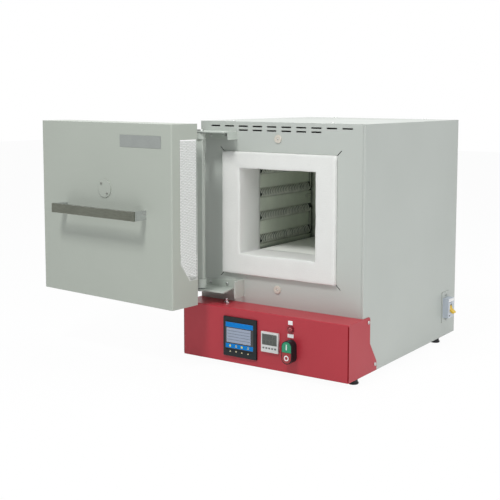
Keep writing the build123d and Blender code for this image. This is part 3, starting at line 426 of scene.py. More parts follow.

# %% [markdown]
# ## Fibre and brick
# The mouth of the chamber and the plug of the door are vacuum-formed ceramic fibre: a dead
# white, soft-looking board with short fibres and small pits, and a trace of sheen. The walls
# that hold the coils are a refractory with a green cast, darkened by painted shade in its
# grooves and corners. The hearth plate is the palest, and the backing board behind the lining
# is a dark grey brown. All of them are very rough.

# %% Fibre and refractory finishes
# The lighter edge tint is a painted highlight along the mouth's edges.
fibre = finish(
    "fibre", colour(228, 229, 225), 0.92, grain_size=0.0035, stretch=(1, 1, 1.6), relief=0.0004,
    tone=0.03, cloud=0.035, cloud_size=0.05, edge=colour(246, 245, 246),
    edge_radius=0.003, edge_amount=0.5, round_edges=1, Sheen_Weight=0.15,
)
# Its dark tint in the grooves and corners is painted shade.
refractory = finish(
    "refractory", colour(226, 234, 217), 0.9, grain_size=0.003, relief=0.0005, tone=0.08,
    cloud=0.12, cloud_size=0.04, painted_shade_tint=colour(60, 74, 58),
)
hearth_finish = finish(
    "hearth", colour(250, 252, 246), 0.85, grain_size=0.0025, relief=0.0003, tone=0.03,
    cloud=0.05, cloud_size=0.05,
)
backing_board = finish(
    "backing_board", colour(74, 72, 66), 0.9, grain_size=0.004, relief=0.0004, tone=0.15,
    cloud=0.15,
)
print("Refractories:", fibre.name, refractory.name, hearth_finish.name)

# %% [markdown]
# ## Plastics, rubber and glass
# Small parts carry the stronger colours. Moulded plastic has a fine spark-eroded texture and
# a soft gloss; rubber is nearly matt. Both get a lighter tint along their edges, a painted
# highlight. The lamp has a glossy deep red lens in a darker ring, and the instruments have
# windows of their own tints.

# %% Plastic finishes
earlier = len(bpy.data.materials)


def plastic(name, tint, rough=0.35, **more):
    settings = dict(grain_size=0.0006, relief=0.00002, tone=0.04, cloud=0.05, cloud_size=0.02,
                    # The lighter edge tint is a painted highlight.
                    edge=shade(tint, 1.35), edge_radius=0.0006, edge_amount=0.5)
    settings.update(more)
    return finish(name, tint, rough, **settings)


black_plastic = plastic("black_plastic", colour(20, 28, 31), Specular_IOR_Level=0.3)
pale_plastic = plastic("pale_plastic", colour(214, 216, 214))
white_plastic = plastic("white_plastic", colour(240, 240, 240))
breaker_plastic = plastic("breaker_plastic", colour(200, 208, 218))
yellow_plastic = plastic("yellow_plastic", colour(236, 196, 60))
green_button = plastic("green_button", colour(30, 140, 100))
red_button = plastic("red_button", colour(150, 42, 44))
red_lens = plastic("red_lens", colour(140, 8, 26), 0.12, Coat_Weight=0.6)
lamp_ring = plastic("lamp_ring", colour(104, 20, 36), 0.3)
rubber = plastic("rubber", colour(28, 29, 31), 0.7, relief=0.00006)
stop_pad = plastic("stop_pad", colour(206, 200, 188), 0.55)
glass_black = plastic("glass_black", colour(22, 27, 32), 0.08, relief=0.0, Coat_Weight=0.5)
display_blue = plastic("display_blue", colour(0, 124, 205), 0.4, Specular_IOR_Level=0.15)
display_pale = plastic("display_pale", colour(150, 162, 182), 0.2, Coat_Weight=0.4)
display_dark = plastic("display_dark", colour(58, 62, 64), 0.2, Coat_Weight=0.4)
display_yellow = plastic("display_yellow", colour(226, 214, 90), 0.3)
display_cream = plastic("display_cream", colour(226, 216, 176), 0.3)
timer_glass = plastic("timer_glass", colour(84, 88, 82), 0.25, relief=0.0)
key_grey = plastic("key_grey", colour(110, 112, 110), 0.45)
# Deep red for the painted shade in the console's folded corners.
corner_shade_red = plastic("corner_shade_red", colour(122, 0, 14), 0.5, Specular_IOR_Level=0.1)
plate_silver = finish(
    "plate_silver", colour(158, 163, 160), 0.34, grain_size=0.0007, stretch=(0.03, 1, 1),
    relief=0.00001, tone=0.08, cloud=0.05, cloud_size=0.03, Metallic=0.9,
)
print("Plastics and plates:", len(bpy.data.materials) - earlier, "finishes")

# %% [markdown]
# ## Which node wears which finish
# The nodes of the solid model keep their shape and get their finish here.

# %% Give the nodes their finishes
wardrobe = (
    (cover_paint, "base_tray side_cover_left side_cover_right top_cover front_panel rear_panel "
                  "deck_plate breaker_bezel"),
    (shaded_door_paint, "door_shell peephole_cap plug_carrier"),
    (console_paint, "console_housing"),
    (hinge_paint, "hinge_bracket_upper hinge_bracket_lower hinge_post upper_arm lower_arm "
                  "door_hinge_upper door_hinge_lower"),
    (zinc, "hinge_pins pivot_pins hinge_screws top_screws console_screws"),
    (bright_steel, "handle_legs switch_barrel switch_plunger thermocouple"),
    (handle_steel, "handle_bar"),
    (coil_wire, "heating_coils"),
    (fibre, "collar door_plug"),
    (refractory, "lining_left lining_right lining_roof lining_floor lining_back"),
    (tube_painted_shade, "element_tubes"),
    (backing_board, "insulation_blocks"),
    (lamp_ring, "lamp_bezel"),
    (hearth_finish, "hearth_plate"),
    (rubber, "feet"),
    (black_plastic, "controller_case button_housing hinge_washers cable_gland contactor"),
    (pale_plastic, "timer_case power_relay"),
    (breaker_plastic, "breaker_body"),
    (yellow_plastic, "breaker_toggle"),
    (green_button, "start_button"),
    (red_button, "stop_button"),
    (red_lens, "lamp_lens"),
    (stop_pad, "door_stops"),
    (glass_black, "controller_display timer_window"),
    (screen_paint, "screen_left screen_right"),
)
left_bare = set(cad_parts)
for material, names in wardrobe:
    for name in names.split():
        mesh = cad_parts[name].data
        mesh.materials.clear()
        mesh.materials.append(material)
        left_bare.remove(name)
print("Nodes dressed:", len(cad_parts) - len(left_bare), "left:", sorted(left_bare))

# %% [markdown]
# ## Drawing pieces in mesh code
# The fine pieces are drawn vertex by vertex. Each one is drawn in millimetres in the frame of
# the body that carries it, turned into metres by the frame's matrix, and then rides on that
# body. Boards get a small bevel, because no real edge is knife-sharp, and round parts are
# turned: a profile of radius and height is spun round an axis.

# %% Helpers for meshes
def piece(name, rider, space, material, draw, stands_for=()):
    """Draw one piece in a frame, give it its finish and let it ride on a body."""
    shape = bmesh.new()
    draw(shape)
    bmesh.ops.recalc_face_normals(shape, faces=shape.faces)
    shape.transform(space)
    mesh = bpy.data.meshes.new(name)
    shape.to_mesh(mesh)
    shape.free()
    mesh.materials.append(material)
    made = show(name, mesh)
    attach(made, rider)
    if stands_for:
        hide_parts(*stands_for)
    return made


def fixed(name, material, draw, *stands_for):
    """A piece of the fixed body."""
    return piece(name, "furnace", body_frame, material, draw, stands_for)


def board(shape, low, high, edge=0.3):
    """A board between two corners, with its edges eased."""
    low, high = Vector(low), Vector(high)
    place = Matrix.Translation((low + high) / 2) @ Matrix.Diagonal((*(high - low), 1))
    made = bmesh.ops.create_cube(shape, size=1.0, matrix=place)
    rims = {e for v in made["verts"] for e in v.link_edges}
    bmesh.ops.bevel(shape, geom=list(rims), offset=edge, segments=2, profile=0.5, affect="EDGES")


def ring(shape, centre, axis, radius, height, sides):
    """One circle of vertices round an axis."""
    across = axis.orthogonal().normalized()
    beside = axis.cross(across)
    spots = []
    for step in range(sides):
        angle = math.tau * step / sides
        spoke = across * math.cos(angle) + beside * math.sin(angle)
        spots.append(shape.verts.new(centre + axis * height + spoke * radius))
    return spots


def skin(shape, *rings):
    """Faces from each ring to the next."""
    for one, other in zip(rings, rings[1:]):
        for step in range(len(one)):
            shape.faces.new((one[step - 1], one[step], other[step], other[step - 1]))


def turned(shape, centre, axis, profile, sides=40):
    """Spin a profile of (radius, height) pairs; both ends are closed."""
    centre, axis = Vector(centre), Vector(axis)
    rings = [ring(shape, centre, axis, radius, height, sides) for radius, height in profile]
    skin(shape, *rings)
    shape.faces.new(rings[0])
    shape.faces.new(rings[-1])


def wire(shape, points, radius, sides=6):
    """A round wire along a line of points."""
    points = [Vector(p) for p in points]
    spokes = [math.tau * step / sides for step in range(sides)]
    rings = []
    up = Vector((0, 0, 1))
    for index, point in enumerate(points):
        along = (points[min(index + 1, len(points) - 1)] - points[max(index - 1, 0)]).normalized()
        across = along.cross(up)
        across = across.normalized() if across.length > 0.01 else Vector((1, 0, 0))
        up = across.cross(along).normalized()
        rounds = [across * math.cos(a) + up * math.sin(a) for a in spokes]
        rings.append([shape.verts.new(point + spoke * radius) for spoke in rounds])
    skin(shape, *rings)
    shape.faces.new(rings[0])
    shape.faces.new(rings[-1])


def corners_of(node, space):
    """Every vertex of a solid in one of the two frames, in millimetres."""
    return [space.inverted() @ v.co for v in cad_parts[node].data.vertices]


def box_of(spots):
    return (
        Vector([min(p[i] for p in spots) for i in range(3)]),
        Vector([max(p[i] for p in spots) for i in range(3)]),
    )


def local_box(node, space):
    """Corners of a solid's box in one of the two frames."""
    return box_of(corners_of(node, space))


def islands(node, space):
    """The boxes of the separate solids in one node, such as four screws."""
    shape = bmesh.new()
    shape.from_mesh(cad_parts[node].data)
    bmesh.ops.remove_doubles(shape, verts=shape.verts, dist=0.00001)
    waiting = set(shape.verts)
    found = []
    while waiting:
        reached, group = [waiting.pop()], []
        while reached:
            spot = reached.pop()
            group.append(space.inverted() @ spot.co)
            near = {e.other_vert(spot) for e in spot.link_edges} & waiting
            waiting -= near
            reached.extend(near)
        found.append(box_of(group))
    shape.free()
    return sorted(found, key=lambda pair: tuple(pair[0]))


console_low, console_high = local_box("console_housing", body_frame)
print("Console front at", round(console_low.y, 1), "its top at", round(console_high.z, 1))

# %% [markdown]
# ## The heating wire
# The elements are spirals of thick resistance wire on ceramic tubes, four on each side of the
# chamber. In the solid model each is a plain sleeve. Here the wire is wound for real: a point
# runs along the sleeve and round it at once, and a little slow noise in its advance makes the
# turns as uneven as wire is after some heats. Short jumpers join the spirals in pairs at the
# back, and a twisted tail leaves between the middle two.

# %% Wind the coils
WIRE = 1.4
TURN_PITCH = 7.6
STEPS_PER_TURN = 14
DRIFT = 1.8
DRIFT_PACE = 0.35
SETTLING_TURNS = 3
JUMPER_BULGE = (0, 2, 3, 3.2, 3, 2, 0)
JUMPER_INSET = 3
TAIL_LENGTH = 22.0
TAIL_STEPS = 24
TAIL_TWISTS = 2.5
TAIL_RADIUS = 1.5
TAIL_INSET = 4
TAIL_LIFT = 5

sleeve_low, sleeve_high = local_box("heating_coils", body_frame)
sleeve_boxes = islands("heating_coils", body_frame)
sleeve_radius = (sleeve_boxes[0][1].x - sleeve_boxes[0][0].x) / 2
winding = sleeve_radius - WIRE
turns = int((sleeve_high.y - sleeve_low.y - 2 * WIRE) / TURN_PITCH)


def wind_spirals(shape):
    for number, (low, high) in enumerate(sleeve_boxes):
        middle = (low + high) / 2
        points = []
        for step in range(turns * STEPS_PER_TURN + 1):
            share = step / STEPS_PER_TURN
            drift = noise.noise(Vector((share * DRIFT_PACE, number * 7.3, 1.5))) * DRIFT
            ends = min(share, turns - share, SETTLING_TURNS) / SETTLING_TURNS
            along = sleeve_low.y + WIRE + share * TURN_PITCH + drift * ends
            angle = math.tau * share
            points.append((
                middle.x + winding * math.cos(angle), along, middle.z + winding * math.sin(angle)
            ))
        wire(shape, points, WIRE)


def wind_all(shape):
    wind_spirals(shape)
    rows = sorted({round((low.z + high.z) / 2, 1) for low, high in sleeve_boxes})
    back = sleeve_high.y - WIRE
    for hand in (-1, 1):
        inside = hand * (sleeve_high.x - 2 * sleeve_radius + WIRE)
        jumper_x = inside + hand * JUMPER_INSET
        for lower, upper in (rows[:2], rows[2:]):
            rise = (upper - lower) / (len(JUMPER_BULGE) - 1)
            jumper = [(jumper_x, back - b, lower + t * rise) for t, b in enumerate(JUMPER_BULGE)]
            wire(shape, jumper, WIRE)
        tail_x = inside + hand * TAIL_INSET
        tail_z = (rows[1] + rows[2]) / 2 + TAIL_LIFT
        for phase in (0, math.pi):
            twist = []
            for step in range(TAIL_STEPS + 1):
                share = step / TAIL_STEPS
                angle = share * math.tau * TAIL_TWISTS + phase
                twist.append((
                    tail_x + TAIL_RADIUS * math.cos(angle),
                    back - share * TAIL_LENGTH,
                    tail_z + TAIL_RADIUS * math.sin(angle),
                ))
            wire(shape, twist, WIRE * 0.8)


coils = fixed("heating_wire", coil_wire, wind_all, "heating_coils")
print("Wire turns per tube:", turns, "faces:", len(coils.data.polygons))

# %% [markdown]
# ## The fibre mouth
# The white frame round the opening is a soft moulded block. Its faces are never quite flat
# and its edges are rounded and a little worn, which flat solid faces can't show. It is built
# as a band of points that runs round the opening, from the back of the reveal over the face
# to the outer side, and each point is then moved a little by noise. Left alone, the noise
# vectors start from the clock, so they get a seed: the mouth comes out the same each time.

# %% Mould the mouth
SOFT_EDGE = 2.2
UNEVEN = 1.3
ALONG_STEP = 9.0
REVEAL_STEPS = 10
EDGE_STEPS = 3
FACE_STEPS = 6
MOVED_DEPTH = 10
BROAD_WAVE, FINE_WAVE, FINE_SHARE = 0.03, 0.13, 0.35
SEED = 7
noise.seed_set(SEED)

mouth_low, mouth_high = local_box("collar", body_frame)
mouth_middle = (mouth_low + mouth_high) / 2
rim_spots = corners_of("collar", body_frame)
hole_half = min(abs(spot.x) for spot in rim_spots)
hole_low = max(spot.z for spot in rim_spots if spot.z < mouth_middle.z)
hole_high = min(spot.z for spot in rim_spots if spot.z > mouth_middle.z)


def stations(half, low, high, steps):
    """Points round an upright rectangle, the same number on each side."""
    corners = [(-half, low), (half, low), (half, high), (-half, high)]
    places = []
    for (x0, z0), (x1, z1) in zip(corners, corners[1:] + corners[:1]):
        for step in range(steps):
            share = step / steps
            places.append((x0 + (x1 - x0) * share, z0 + (z1 - z0) * share))
    return places


def section_of(wall, face, back):
    """The mouth's profile, as pairs of distance from the opening and depth."""
    quarter = [math.pi / 2 * t / EDGE_STEPS for t in range(EDGE_STEPS + 1)]
    reveal, flat = back - face - SOFT_EDGE, wall - 2 * SOFT_EDGE
    sines = [1 - math.sin(a) for a in quarter]
    cosines = [1 - math.cos(a) for a in quarter]
    profile = [(0, back - reveal * t / REVEAL_STEPS) for t in range(REVEAL_STEPS)]
    profile += [(SOFT_EDGE * u, face + SOFT_EDGE * v) for u, v in zip(cosines, sines)]
    profile += [(SOFT_EDGE + flat * t / FACE_STEPS, face) for t in range(1, FACE_STEPS)]
    profile += [(wall - SOFT_EDGE * u, face + SOFT_EDGE * v) for u, v in zip(sines, cosines)]
    return profile + [(wall, face + MOVED_DEPTH), (wall, back)]


def mould(shape):
    steps = int(2 * hole_half / ALONG_STEP)
    inner = stations(hole_half, hole_low, hole_high, steps)
    outer = stations(mouth_high.x, mouth_low.z, mouth_high.z, steps)
    face, back = mouth_low.y, mouth_high.y
    wall = mouth_high.x - hole_half
    bands = []
    for across, depth in section_of(wall, face, back):
        share = across / wall
        band = []
        for (ix, iz), (ox, oz) in zip(inner, outer):
            spot = Vector((ix + (ox - ix) * share, depth, iz + (oz - iz) * share))
            fine_push = noise.noise_vector(spot * FINE_WAVE) * FINE_SHARE
            push = noise.noise_vector(spot * BROAD_WAVE) + fine_push
            if depth < face + MOVED_DEPTH:
                edgeways = share * 2 - 1
                upward = spot.z - mouth_middle.z
                spot += UNEVEN * Vector((
                    -math.copysign(push.x, spot.x) * edgeways if push.x > 0 else 0,
                    abs(push.y),
                    -math.copysign(push.z, upward) * edgeways if push.z > 0 else 0,
                ))
            band.append(shape.verts.new(spot))
        bands.append(band)
    skin(shape, *bands, bands[0])
    for made in shape.faces:
        made.smooth = True


mouth = fixed("fibre_mouth", fibre, mould, "collar")
print("Opening", round(2 * hole_half), "wide, from", round(hole_low), "to", round(hole_high))
print("Mouth faces:", len(mouth.data.polygons))

# %% [markdown]
# ## The perforated sides of the door
# Air passes through a window of finely perforated sheet in each side of the door. The holes
# stand in staggered rows, so the sheet is built from six-sided cells like a honeycomb, each
# with a hole in its middle. The strip between the last cells and the edge of the window is
# filled with triangles, and the whole is then given its thickness.

# %% Punch the side sheets
CELL = 4.5
HOLE = 1.8
SIDE_SHEET = 1.0
SAME = 0.1
FIRST_ACROSS, FIRST_UP = 0.75, 0.8
CLEAR_OF_EDGE = 1.1
HEXAGON = [math.radians(30 + 60 * step) for step in range(6)]


def punch(window, x):
    """Return a function that draws the perforated sheet in the plane across x."""
    def inside(y, z, margin):
        for (y0, z0), (y1, z1) in zip(window, window[1:] + window[:1]):
            length = math.hypot(y1 - y0, z1 - z0)
            if ((y1 - y0) * (z - z0) - (z1 - z0) * (y - y0)) / length < margin:
                return False
        return True

    def draw(shape):
        corners = {}

        def corner(y, z):
            key = (round(y, 3), round(z, 3))
            if key not in corners:
                corners[key] = shape.verts.new((x, y, z))
            return corners[key]

        reach = CELL / math.sqrt(3)
        rise = reach * 1.5
        low_y, low_z = min(y for y, _ in window), min(z for _, z in window)
        rows = int((max(z for _, z in window) - low_z) / rise)
        columns = int((max(y for y, _ in window) - low_y) / CELL)
        for row in range(rows):
            for column in range(columns + 1):
                y = low_y + CELL * (column + FIRST_ACROSS + 0.5 * (row % 2))
                z = low_z + rise * (row + FIRST_UP)
                if not inside(y, z, reach * CLEAR_OF_EDGE):
                    continue
                rays = [(math.cos(a), math.sin(a)) for a in HEXAGON]
                rim = [corner(y + reach * u, z + reach * v) for u, v in rays]
                hole = [shape.verts.new((x, y + HOLE * u, z + HOLE * v)) for u, v in rays]
                skin(shape, hole, rim)
        known = set(corners.values())
        border = [e for e in shape.edges if len(e.link_faces) == 1 and known.issuperset(e.verts)]
        rim = [shape.verts.new((x, y, z)) for y, z in window]
        outline = [shape.edges.new((rim[i - 1], rim[i])) for i in range(len(rim))]
        bmesh.ops.triangle_fill(shape, edges=border + outline, use_beauty=True)
        bmesh.ops.recalc_face_normals(shape, faces=shape.faces)
        bmesh.ops.solidify(shape, geom=list(shape.faces), thickness=SIDE_SHEET)

    return draw


for hand, node in ((-1, "screen_left"), (1, "screen_right")):
    low, high = local_box(node, door_frame)
    spots = corners_of(node, door_frame)
    slope_end = min(spot.y for spot in spots if spot.z < low.z + SAME)
    slope_start = min(spot.z for spot in spots if spot.y < low.y + SAME)
    window = [
        (slope_end, low.z), (high.y, low.z), (high.y, high.z), (low.y, high.z), (low.y, slope_start)
    ]
    plane_x = (low.x + high.x) / 2 - hand * SIDE_SHEET / 2
    drawing = punch(window, plane_x)
    sheet = piece("perforated_" + node[7:], "door", door_frame, screen_paint, drawing, [node])
    print(sheet.name, "faces", len(sheet.data.polygons))

# %% [markdown]
# ## Screws
# The covers, the console and the hinge are held by pan-head screws. A pan head is turned from
# a flat disc with a round shoulder. Its cross recess is a plus-shaped hole in the top face,
# pushed down into the head. One function draws the head wherever the solid model has a disc.

# %% Pan-head screws
PAN_HEAD = ((1, 0), (1, 0.35), (0.92, 0.75), (0.72, 1))
PAN_SIDES = 28
PLUS_ARM, PLUS_HALF = 0.52, 0.13
PLUS_FLOOR = 0.35
PLUS_TAPER = 0.7


def screw_head(shape, seat, axis, radius, height):
    """A pan head with a cross recess, standing on its seat along an axis."""
    seat, axis = Vector(seat), Vector(axis)
    rings = [ring(shape, seat, axis, radius * r, height * h, PAN_SIDES) for r, h in PAN_HEAD]
    skin(shape, *rings)
    shape.faces.new(rings[0])
    across = axis.orthogonal().normalized()
    beside = axis.cross(across)
    arm, half = radius * PLUS_ARM, radius * PLUS_HALF
    plus = [(half, half), (half, arm), (-half, arm), (-half, half), (-arm, half), (-arm, -half),
            (-half, -half), (-half, -arm), (half, -arm), (half, -half), (arm, -half), (arm, half)]
    top, floor_level = seat + axis * height, seat + axis * height * PLUS_FLOOR
    upper = [shape.verts.new(top + across * u + beside * v) for u, v in plus]
    inward = [(across * u * PLUS_TAPER, beside * v * PLUS_TAPER) for u, v in plus]
    lower = [shape.verts.new(floor_level + a + b) for a, b in inward]
    rim = [
        shape.edges.new((upper[i - 1], upper[i])) for i in range(len(upper))
    ] + [
        shape.edges.get((rings[-1][i - 1], rings[-1][i])) for i in range(len(rings[-1]))
    ]
    bmesh.ops.triangle_fill(shape, edges=rim, use_beauty=True)
    skin(shape, upper, lower)
    shape.faces.new(lower)


def screws(name, rider, space, node, outward):
    def draw(shape):
        for low, high in islands(node, space):
            centre = (low + high) / 2
            axis = Vector(outward(centre))
            deep = abs((high - low).dot(axis))
            wide = max(high - low)
            screw_head(shape, centre - axis * deep / 2, axis, wide / 2, deep)
    return piece(name, rider, space, zinc, draw, [node])


screwed = {
    "top_screws": ("cover_screws", lambda centre: (0, 0, 1)),
    "hinge_screws": ("hinge_plate_screws", lambda centre: (0, -1, 0)),
    "console_screws": ("flange_screws", lambda centre: (math.copysign(1, centre.x), 0, 0)),
}
for node, (name, outward) in screwed.items():
    screws(name, "furnace", body_frame, node, outward)
print("Screws drawn:", sum(len(islands(node, body_frame)) for node in screwed))

# %% [markdown]
# ## Stops and feet
# Two pale buffers catch the door. Each is a disc with a round rim and a countersunk hole for
# its screw. The feet are rubber: a drum that widens to a lip where it meets the bench.

# %% Door stops and feet
STOP_PROFILE = ((0.97, 0), (1, 0.3), (0.96, 0.8), (0.88, 1), (0.3, 1), (0.2, 0.5))
FOOT_PROFILE = ((0.94, 0), (1, 0.08), (1, 0.22), (0.86, 0.32), (0.8, 0.6), (0.84, 0.97), (0.8, 1))
STOP_SCREW = 1.9
STOP_SCREW_SEAT, STOP_SCREW_HEIGHT = 0.45, 0.4


def spun(node, axis, profile):
    """Return a function that spins one profile in place of each solid of a node."""
    def draw(shape):
        for low, high in islands(node, body_frame):
            radius = (high.x - low.x) / 2
            height = abs((high - low).dot(Vector(axis)))
            seat = (low + high) / 2 - Vector(axis) * height / 2
            turned(shape, seat, axis, [(radius * r, height * h) for r, h in profile])
    return draw


def draw_stop_screws(shape):
    for low, high in islands("door_stops", body_frame):
        centre = (low + high) / 2
        height = high.y - low.y
        seat = (centre.x, high.y - height * STOP_SCREW_SEAT, centre.z)
        screw_head(shape, seat, (0, -1, 0), STOP_SCREW, height * STOP_SCREW_HEIGHT)


fixed("buffers", stop_pad, spun("door_stops", (0, -1, 0), STOP_PROFILE), "door_stops")
fixed("buffer_screws", zinc, draw_stop_screws)
fixed("rubber_feet", rubber, spun("feet", (0, 0, 1), FOOT_PROFILE), "feet")
print("Stops:", len(islands("door_stops", body_frame)), "feet:", len(islands("feet", body_frame)))

# %% [markdown]
# ## The controller
# The large instrument is a black case with a colour display. On it lie a blue bar at the top,
# a pale field for the readings and a second blue bar over four soft keys; the keys' marks are
# small pale triangles on the case below. Nothing is written on it: the fields stay bare, with
# a few ruled lines. Everything is a thin board on the glass, so it moves and lights like print
# under a window.

# %% Controller face
panel_low, panel_high = local_box("controller_case", body_frame)
case_width = panel_high.x - panel_low.x
FACE = panel_low.y
INK = 0.12
GLASS_THICK = 0.2
FIELD_TOP = GLASS_THICK + INK
TOP_BAR = (13.0, 24.5)
LOW_BAR = (65.0, 75.5)
LOW_MIDDLE = (LOW_BAR[0] + LOW_BAR[1]) / 2
BAR_SPAN = (7.5, case_width - 9.0)
GLASS_EDGE = 1
FIELD = (26.6, 62.0)
FIELD_SPAN = (10.2, case_width - 15.7)
RULE_INSET, RULE_HALF, RULE_THICK = 2, 0.35, 0.06
KEYS_AT = 83.5
KEY_PLACES = [case_width * share for share in (0.215, 0.398, 0.57, 0.762)]
DASH_HALF, DASH_NEAR, DASH_FAR = 2.6, 1.0, 2.2
SQUARE_HALF = 2.4
MARK_HALF, MARK_TIP = 2.3, 2.2


def fields(lift, thick, *rows):
    """Return a function that lays thin fields on the controller's face. Each row is its left,
    right, top and bottom, measured from the top left corner of the case."""
    def draw(shape):
        for left, right, top, bottom in rows:
            board(
                shape,
                (panel_low.x + left, FACE - lift - thick, panel_high.z - bottom),
                (panel_low.x + right, FACE - lift, panel_high.z - top),
                edge=thick * 0.3,
            )
    return draw


glass = (BAR_SPAN[0] - GLASS_EDGE, BAR_SPAN[1] + GLASS_EDGE,
         TOP_BAR[0] - GLASS_EDGE, LOW_BAR[1] + GLASS_EDGE)
levels = [FIELD[0] + (FIELD[1] - FIELD[0]) * share for share in (0.2, 0.4, 0.6, 0.8)]
rule_span = (FIELD_SPAN[0] + RULE_INSET, FIELD_SPAN[1] - RULE_INSET)
rules = [(*rule_span, level - RULE_HALF, level + RULE_HALF) for level in levels]
square, dashes = ((-SQUARE_HALF, SQUARE_HALF),), ((-DASH_FAR, -DASH_NEAR), (DASH_NEAR, DASH_FAR))
soft_keys = []
for number, x in enumerate(KEY_PLACES):
    half, marks = (DASH_HALF, dashes) if number % 2 else (SQUARE_HALF, square)
    soft_keys += [(x - half, x + half, LOW_MIDDLE + top, LOW_MIDDLE + end) for top, end in marks]


def draw_triangles(shape):
    for number, place in enumerate(KEY_PLACES):
        x, z = panel_low.x + place, panel_high.z - KEYS_AT
        tip = -MARK_TIP if number == 1 else MARK_TIP
        corners = [(x - MARK_HALF, z - tip * 0.7), (x + MARK_HALF, z - tip * 0.7), (x, z + tip)]
        front, back = [[shape.verts.new((a, y, b)) for a, b in corners] for y in (FACE - INK, FACE)]
        shape.faces.new(front)
        shape.faces.new(back)
        skin(shape, front, back)


bars = ((*BAR_SPAN, *TOP_BAR), (*BAR_SPAN, *LOW_BAR))
fixed("controller_glass", glass_black, fields(0, GLASS_THICK, glass), "controller_display")
fixed("controller_bars", display_blue, fields(GLASS_THICK, INK, *bars))
fixed("controller_field", display_pale, fields(GLASS_THICK, INK, (*FIELD_SPAN, *FIELD)))
fixed("controller_rules", display_dark, fields(FIELD_TOP, RULE_THICK, *rules))
fixed("controller_soft_keys", display_yellow, fields(FIELD_TOP, INK, *soft_keys))
fixed("controller_marks", display_cream, draw_triangles)
print("Controller face", round(case_width, 1), "mm wide at y", round(FACE, 1))

# %% [markdown]
# ## The timer
# The small instrument has a pale frame round a dark window with two rows of unlit
# seven-segment digits, and a row of short keys under the window.

# %% Timer face
window_low, window_high = local_box("timer_window", body_frame)
window_size = window_high - window_low
timer_low = local_box("timer_case", body_frame)[0]
TIMER_FACE = timer_low.y
WINDOW_THICK = 0.25
DIGITS = 4
DIGIT_ROWS = ((0.72, 8.0), (0.28, 6.5))
SEGMENT, SEGMENT_THICK = 0.8, 0.08
KEYS = 5
KEY_HALF = (2.6, 1.9)
KEY_THICK, KEYS_UP = 0.5, 1.5


def on_timer(shape, x, z, half_wide, half_tall, low, high, edge):
    """A board on the timer's front, from one height over it to another."""
    board(
        shape,
        (x - half_wide, TIMER_FACE - high, z - half_tall),
        (x + half_wide, TIMER_FACE - low, z + half_tall),
        edge,
    )


def draw_window(shape):
    middle = (window_low + window_high) / 2
    on_timer(shape, middle.x, middle.z, window_size.x / 2, window_size.z / 2, 0, WINDOW_THICK, 0.2)


def draw_digits(shape):
    pitch = window_size.x / (DIGITS + 0.4)
    for row, tall in DIGIT_ROWS:
        level = window_low.z + window_size.z * row
        wide = tall * 0.55
        bars = [(0, s * tall / 2, wide, SEGMENT) for s in (-1, 0, 1)]
        bars += [(a * wide / 2, b * tall / 4, SEGMENT, tall / 2) for a in (-1, 1) for b in (-1, 1)]
        for digit in range(DIGITS):
            x = window_low.x + pitch * (digit + 0.7)
            for right, up, width, height in bars:
                on_timer(shape, x + right, level + up, width / 2, height / 2,
                         WINDOW_THICK, WINDOW_THICK + SEGMENT_THICK, 0.03)


def draw_timer_keys(shape):
    level = (timer_low.z + window_low.z) / 2 + KEYS_UP
    for key in range(KEYS):
        x = window_low.x + window_size.x * (key + 0.5) / KEYS
        on_timer(shape, x, level, *KEY_HALF, 0, KEY_THICK, 0.4)


fixed("timer_glass", timer_glass, draw_window, "timer_window")
fixed("timer_digits", display_dark, draw_digits)
fixed("timer_keys", key_grey, draw_timer_keys)
print("Timer digits:", len(DIGIT_ROWS) * DIGITS)

# %% [markdown]
# ## Lamp, buttons and their plates
# Two blank white plates stand above and below the signal lamp. The lamp is a domed red lens
# in a dark ring. The start button carries a white bar and the stop button a white ring, the
# usual signs for on and off. They ride on their buttons, so they go in with them.

# %% Lamp, button marks and plates
start_low, start_high = local_box("start_button", body_frame)
stop_low, stop_high = local_box("stop_button", body_frame)
lens_low, lens_high = local_box("lamp_lens", body_frame)
lens_middle = (lens_low + lens_high) / 2
PRINT_PROUD, PRINT_SUNK = 0.15, 0.1
BAR_HALF = (1.3, 6.5)
RING_OUTER, RING_INNER = 6.4, 3.9
PLATES = ((-7.4, 4.8, 10.6, 20.2), (-8.8, 7.5, -19.6, -11.0))
PLATE_THICK, PLATE_EDGE = 0.6, 0.25
DOME_STEPS = 8
DOME_START = 0.45


def draw_start_bar(shape):
    x, z = (start_low.x + start_high.x) / 2, (start_low.z + start_high.z) / 2
    half_wide, half_tall = BAR_HALF
    low = (x - half_wide, start_low.y - PRINT_PROUD, z - half_tall)
    board(shape, low, (x + half_wide, start_low.y + PRINT_SUNK, z + half_tall), 0.1)


def draw_stop_ring(shape):
    axis = Vector((0, 1, 0))
    centre = (stop_low + stop_high) / 2
    centre.y = stop_low.y - PRINT_PROUD
    deep = PRINT_PROUD + PRINT_SUNK
    corners = ((0, RING_OUTER), (0, RING_INNER), (deep, RING_INNER), (deep, RING_OUTER))
    rings = [ring(shape, centre, axis, radius, height, 40) for height, radius in corners]
    skin(shape, *rings, rings[0])


def draw_plates(shape):
    for left, right, low, high in PLATES:
        board(
            shape,
            (lens_middle.x + left, console_low.y - PLATE_THICK, lens_middle.z + low),
            (lens_middle.x + right, console_low.y, lens_middle.z + high),
            PLATE_EDGE,
        )


def draw_lens(shape):
    radius = (lens_high.x - lens_low.x) / 2
    reach = console_low.y - lens_low.y
    profile = [(radius, 0)]
    for step in range(DOME_STEPS):
        angle = math.pi / 2 * step / DOME_STEPS
        bulge = DOME_START + (1 - DOME_START) * math.sin(angle)
        profile.append((radius * math.cos(angle), reach * bulge))
    turned(shape, (lens_middle.x, console_low.y, lens_middle.z), (0, -1, 0), profile)


